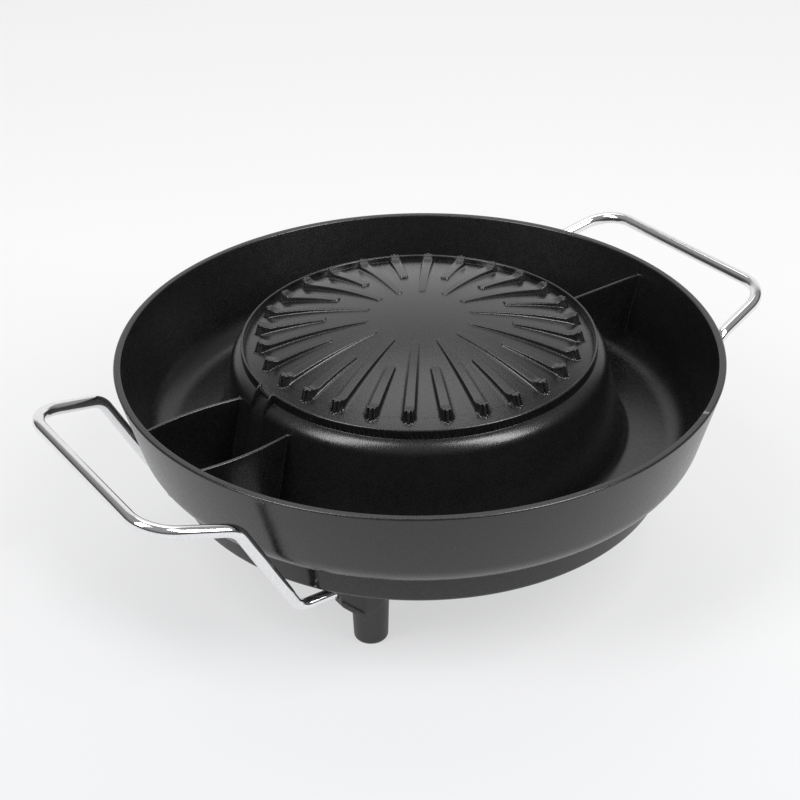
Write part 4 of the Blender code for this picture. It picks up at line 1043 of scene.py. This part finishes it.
def rod_tree():
    """Rounds a line's corners by the radius kept at each and sweeps a circle along it."""
    sizes = (("Rod_Radius", "Float"), ("Sides", "Int"), ("Bend_Steps", "Int"), ("Finish", "Material"))
    tree, given, result = geometry_tree("bent_rod", sizes)
    line = tree_node(tree, "GeometryNodeMeshToCurve", ("Mesh", given.outputs["Geometry"]))
    bend = tree_node(tree, "GeometryNodeInputNamedAttribute", ("Name", "bend"), data_type="FLOAT")
    smoothed = tree_node(
        tree, "GeometryNodeFilletCurve", ("Curve", line.outputs[0]), ("Radius", bend.outputs[0]),
        ("Count", given.outputs["Bend_Steps"]), mode="POLY",
    )
    circle = tree_node(
        tree, "GeometryNodeCurvePrimitiveCircle", ("Resolution", given.outputs["Sides"]),
        ("Radius", given.outputs["Rod_Radius"]),
    )
    rod = tree_node(
        tree, "GeometryNodeCurveToMesh", ("Curve", smoothed.outputs[0]),
        ("Profile Curve", circle.outputs[0]), ("Fill Caps", True),
    )
    finished = tree_node(
        tree, "GeometryNodeSetMaterial", ("Geometry", rod.outputs[0]),
        ("Material", given.outputs["Finish"]),
    )
    tree.links.new(finished.outputs[0], result.inputs[0])
    return tree


def rod_line(name, matrix):
    """The rod's line as joined points, each with the radius of its bend."""
    rod_end = FOOT_REACH + ARM_LENGTH - ROD_INSERT
    half = [
        ((rod_end, FOOT_SPREAD, ROD_HEIGHT), 0),
        ((LOW_REACH, FOOT_SPREAD, ROD_HEIGHT), LOW_BEND),
        ((HIGH_REACH, FOOT_SPREAD, HIGH_HEIGHT), HIGH_BEND),
        ((GRIP_REACH, GRIP_SPREAD, GRIP_HEIGHT), GRIP_BEND),
    ]
    line = half + [((x, -y, z), bend) for (x, y, z), bend in reversed(half)]
    edges = [(i, i + 1) for i in range(len(line) - 1)]
    mesh = bpy.data.meshes.new(name)
    mesh.from_pydata([matrix @ Vector(point) for point, _ in line], edges, [])
    mesh.attributes.new("bend", "FLOAT", "POINT").data.foreach_set("value", [bend for _, bend in line])
    return linked(name, mesh)


chrome = finish_material(
    "chrome_rod", CHROME_DARK, CHROME_LIGHT, roughness=(0.05, 0.10), grain=(700.0, 90.0, 0.6),
    bump=(0.03, 0.0002), metallic=1.0,
)
bent_rod = rod_tree()
for side, lean in (("left", math.pi - HANDLE_LEAN), ("right", HANDLE_LEAN)):
    turn = Matrix.Rotation(lean, 4, "Z")
    rod = rod_line(f"rod_{side}", turn)
    grown(rod, bent_rod, Rod_Radius=ROD_RADIUS, Sides=ROD_SIDES, Bend_Steps=ROD_BEND_STEPS, Finish=chrome)
    hole_low = ROD_HEIGHT - ROD_RADIUS - OVERRUN
    for hand in (-1, 1):
        spot = Matrix.Translation((FOOT_REACH + ARM_LENGTH - HANDLE_SCREW_PLACE, hand * FOOT_SPREAD, 0))
        hole = cylinder("hole", HANDLE_SCREW_HOLE, hole_low, HANDLE_SCREW_SEAT + HANDLE_SCREW_REACH)
        combine(rod, "DIFFERENCE", moved(hole, turn @ spot))
    smooth(rod, chrome)
    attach(rod, "root")
    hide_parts(f"handle_{side}")


# Inlet socket
# A moulded phenolic socket lies on the dish's skirt at the back, over the two terminal pins and
# the mouth of the probe's tube. Its mouth is rounded, and two screws hold it to a plate inside.
SHROUD_HALF_WIDTH = 0.034
SHROUD_HALF_HEIGHT = 0.0087
SHROUD_ROUNDING = 0.004
SHROUD_WALL = 0.0026
SHROUD_FRONT = 0.15103
SHROUD_FLOOR = 0.1613
SHROUD_DEPTH = 0.023
SHROUD_EDGE = 0.0006
MOUTH_STEPS = 4
MOUTH_ARC_STEP = math.radians(9)

shroud_mouth = SHROUD_FLOOR + SHROUD_DEPTH
quarters = ((-1, -1), (1, -1), (1, 1), (-1, 1))


def shroud_outline(less, corner):
    half_width, half_height = SHROUD_HALF_WIDTH - less, SHROUD_HALF_HEIGHT - less
    return rounded([(x * half_width, z * half_height, corner) for x, z in quarters], step=MOUTH_ARC_STEP)


def shroud_loft(name, levels):
    rings = [[(x, z, y) for x, z in shroud_outline(less, corner)] for y, less, corner in levels]
    return along_y(lofted(name, rings), 0, INLET_HEIGHT)


edge_turn = [math.pi / 2 * i / MOUTH_STEPS for i in range(MOUTH_STEPS + 1)]
outer_levels = [(SHROUD_FRONT, 0, SHROUD_ROUNDING)]
for angle in edge_turn:
    back = SHROUD_EDGE * (1 - math.sin(angle))
    less = SHROUD_EDGE * (1 - math.cos(angle))
    outer_levels.append((shroud_mouth - back, less, SHROUD_ROUNDING - less))
inner_levels = [(SHROUD_FLOOR, SHROUD_WALL, SHROUD_ROUNDING - SHROUD_WALL)]
for angle in edge_turn:
    back = SHROUD_EDGE * math.cos(angle)
    less = SHROUD_WALL - SHROUD_EDGE * math.sin(angle)
    inner_levels.append((shroud_mouth - back, less, SHROUD_ROUNDING - less))
inner_levels.append((shroud_mouth + OVERRUN, less, SHROUD_ROUNDING - less))
shroud = shroud_loft("inlet_socket", outer_levels)
body = turned("body", [
    (0, 0), (DISH_LOW_RADIUS + SEAT_GAP, 0), (DISH_LOW_RADIUS + SEAT_GAP, DISH_LOW),
    (DISH_RADIUS + SEAT_GAP, DISH_TOP), (DISH_RADIUS + SEAT_GAP, RIM_HEIGHT), (0, RIM_HEIGHT),
])
combine(shroud, "DIFFERENCE", body, shroud_loft("cavity", inner_levels))
combine(shroud, "DIFFERENCE", *inlet_bores(SHROUD_FRONT, SHROUD_FLOOR + OVERRUN))
smooth(shroud, phenolic)
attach(shroud, "root")
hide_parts("inlet_shroud")


# Pieces kept from the solids
# The element, its clips, the reflector, the spacers, the screws, the pins and their insulators, the
# inlet's plate and the probe's tube stand as modelled; each gets the finish of its own metal.
KEPT_FINISHES = (
    ("element_sheath", 1.0, (0.16, 0.14, 0.12, 1), (0.30, 0.27, 0.24, 1), (0.35, 0.55),
     (900.0, 45.0, 0.7), (0.2, 0.0002), ("heating_element",)),
    ("bright_sheet", 1.0, (0.62, 0.62, 0.63, 1), (0.74, 0.74, 0.75, 1), (0.25, 0.40),
     (1800.0, 30.0, 0.5), (0.1, 0.0002), ("heat_reflector",)),
    ("zinc_steel", 1.0, (0.46, 0.46, 0.45, 1), (0.62, 0.61, 0.57, 1), (0.28, 0.42),
     (2500.0, 300.0, 0.5), (0.15, 0.0001), ("element_clip", "clip_screw", "spacer", "foot_screw",
                                            "handle_screw", "inlet_plate", "inlet_screw")),
    ("white_ceramic", 0.0, (0.66, 0.64, 0.60, 1), (0.78, 0.76, 0.71, 1), (0.45, 0.60),
     (2500.0, 250.0, 0.5), (0.2, 0.0001), ("pin_insulator",)),
    ("nickel_pin", 1.0, (0.60, 0.58, 0.53, 1), (0.72, 0.70, 0.65, 1), (0.15, 0.28),
     (2500.0, 250.0, 0.5), (0.1, 0.0001), ("terminal_pin", "probe_sleeve")),
)
for finish_name, metallic, dark, light, roughness, grain, bump, starts in KEPT_FINISHES:
    finish = finish_material(finish_name, dark, light, roughness, grain, bump, metallic)
    for node_name, node in cad_nodes.items():
        if node_name.startswith(starts):
            node.data.materials.clear()
            node.data.materials.append(finish)


# Floor, room and camera
# A pale floor in a dim studio: a white backdrop behind the object, two tall softboxes in front of
# it to the left and right, a weak one behind, and the camera at the photograph's angle.
FLOOR_REACH = 6.0
# Painted shade: the floor's colour runs from a grey near the camera to a paler grey far off, standing in
# for light falling off across it.
FLOOR_NEAR_PAINTED_SHADE = (0.755, 0.76, 0.775, 1)
FLOOR_FAR = (0.89, 0.89, 0.89, 1)
FLOOR_PAINTED_SHADE_SPAN = (-0.7, 0.5)
FLOOR_GLOW = 0.72
FLOOR_ROUGHNESS = 0.8
BACKDROP_EDGE = (0.58, 0.80)
BACKDROP_LEVEL = 0.92
ROOM_HEIGHTS = (0.12, 0.60)
ROOM_LEVELS = (0.06, 0.31)
CAMERA_PLACE = (-0.6327, -0.8785, 0.7488)
CAMERA_TURN = math.radians(54.9)
CAMERA_PITCH = math.radians(31.263)
CAMERA_ROLL = math.radians(-0.903)
CAMERA_LENS = 90
SENSOR_WIDTH = 36
LAMPS = (
    ("lamp_left", 179, 47, 1.9, 0.65, 1.55, 27.0),
    ("lamp_right", -71, 47, 1.9, 0.6, 1.55, 34.0),
    ("lamp_back", 54, 64, 1.9, 1.0, 0.9, 6.0),
)


def floor_material():
    made = bpy.data.materials.new("pale_floor")
    made.use_nodes = True
    tree = made.node_tree
    shader = tree.nodes["Principled BSDF"]
    place = tree_node(tree, "ShaderNodeTexCoord")
    parts = tree_node(tree, "ShaderNodeSeparateXYZ", (0, place.outputs["Object"]))
    # Painted shade: the floor's colour greys towards the camera, standing in for light falling off there.
    depth = math_node(tree, "ADD", parts.outputs["X"], parts.outputs["Y"])
    share = mapped(tree, depth, FLOOR_PAINTED_SHADE_SPAN)
    colour = tree_node(
        tree, "ShaderNodeMix", (0, share), (6, FLOOR_NEAR_PAINTED_SHADE), (7, FLOOR_FAR), data_type="RGBA"
    )
    tree.links.new(colour.outputs[2], shader.inputs["Base Color"])
    shader.inputs["Roughness"].default_value = FLOOR_ROUGHNESS
    rays = tree_node(tree, "ShaderNodeLightPath")
    mirrored = math_node(
        tree, "MAXIMUM", rays.outputs["Is Glossy Ray"], rays.outputs["Is Transmission Ray"]
    )
    direct = math_node(tree, "MAXIMUM", rays.outputs["Is Camera Ray"], mirrored)
    glow = math_node(tree, "MULTIPLY", direct, FLOOR_GLOW)
    pale = tree_node(tree, "ShaderNodeEmission", ("Color", colour.outputs[2]), ("Strength", 1.0))
    both = tree_node(
        tree, "ShaderNodeMixShader", (0, glow), (1, shader.outputs[0]), (2, pale.outputs[0])
    )
    tree.links.new(both.outputs[0], tree.nodes["Material Output"].inputs["Surface"])
    return made


floor_points = [(x * FLOOR_REACH, y * FLOOR_REACH, 0) for x, y in quarters]
floor_mesh = bpy.data.meshes.new("floor")
floor_mesh.from_pydata(floor_points, [], [(0, 1, 2, 3)])
floor = linked("floor", floor_mesh)
floor.data.materials.append(floor_material())

world = bpy.data.worlds.new("studio")
world.use_nodes = True
bpy.context.scene.world = world
sky = world.node_tree
background = sky.nodes["Background"]
direction = tree_node(sky, "ShaderNodeTexCoord")
parts = tree_node(sky, "ShaderNodeSeparateXYZ", (0, direction.outputs["Generated"]))
room = mapped(sky, parts.outputs["Z"], ROOM_HEIGHTS, ROOM_LEVELS)
away = tree_node(
    sky, "ShaderNodeVectorMath", (0, direction.outputs["Generated"]),
    (1, (math.cos(CAMERA_TURN), math.sin(CAMERA_TURN), 0)), operation="DOT_PRODUCT",
)
backdrop = mapped(sky, away.outputs["Value"], BACKDROP_EDGE, interpolation_type="SMOOTHSTEP")
around = tree_node(sky, "ShaderNodeMix", (0, backdrop), (2, room), (3, BACKDROP_LEVEL))
rays = tree_node(sky, "ShaderNodeLightPath")
seen = tree_node(
    sky, "ShaderNodeMix", (0, rays.outputs["Is Camera Ray"]), (2, around.outputs[0]), (3, 1.0)
)
sky.links.new(seen.outputs[0], background.inputs["Color"])

for name, azimuth, elevation, distance, width, depth, power in LAMPS:
    lamp_data = bpy.data.lights.new(name, "AREA")
    lamp_data.shape = "RECTANGLE"
    lamp_data.size = width
    lamp_data.size_y = depth
    lamp_data.energy = power
    lamp = linked(name, lamp_data)
    aside = Matrix.Rotation(math.radians(azimuth), 4, "Z")
    raised = Matrix.Rotation(-math.radians(elevation), 4, "Y")
    lamp_place = aside @ raised @ Vector((distance, 0, 0))
    lamp.location = lamp_place + Vector((0, 0, RIM_HEIGHT))
    lamp.rotation_euler = (-lamp_place).to_track_quat("-Z", "Y").to_euler()

forward = Vector((
    math.cos(CAMERA_TURN) * math.cos(CAMERA_PITCH),
    math.sin(CAMERA_TURN) * math.cos(CAMERA_PITCH),
    -math.sin(CAMERA_PITCH),
))
level_right = forward.cross(Vector((0, 0, 1))).normalized()
level_up = level_right.cross(forward)
right = level_right * math.cos(CAMERA_ROLL) + level_up * math.sin(CAMERA_ROLL)
up = level_up * math.cos(CAMERA_ROLL) - level_right * math.sin(CAMERA_ROLL)
camera_data = bpy.data.cameras.new("camera")
camera_data.lens = CAMERA_LENS
camera_data.sensor_width = SENSOR_WIDTH
camera = linked("camera", camera_data)
camera_axes = Matrix((right, up, -forward)).transposed().to_4x4()
camera.matrix_world = Matrix.Translation(CAMERA_PLACE) @ camera_axes
bpy.context.scene.camera = camera
bpy.context.scene.view_settings.view_transform = "Standard"
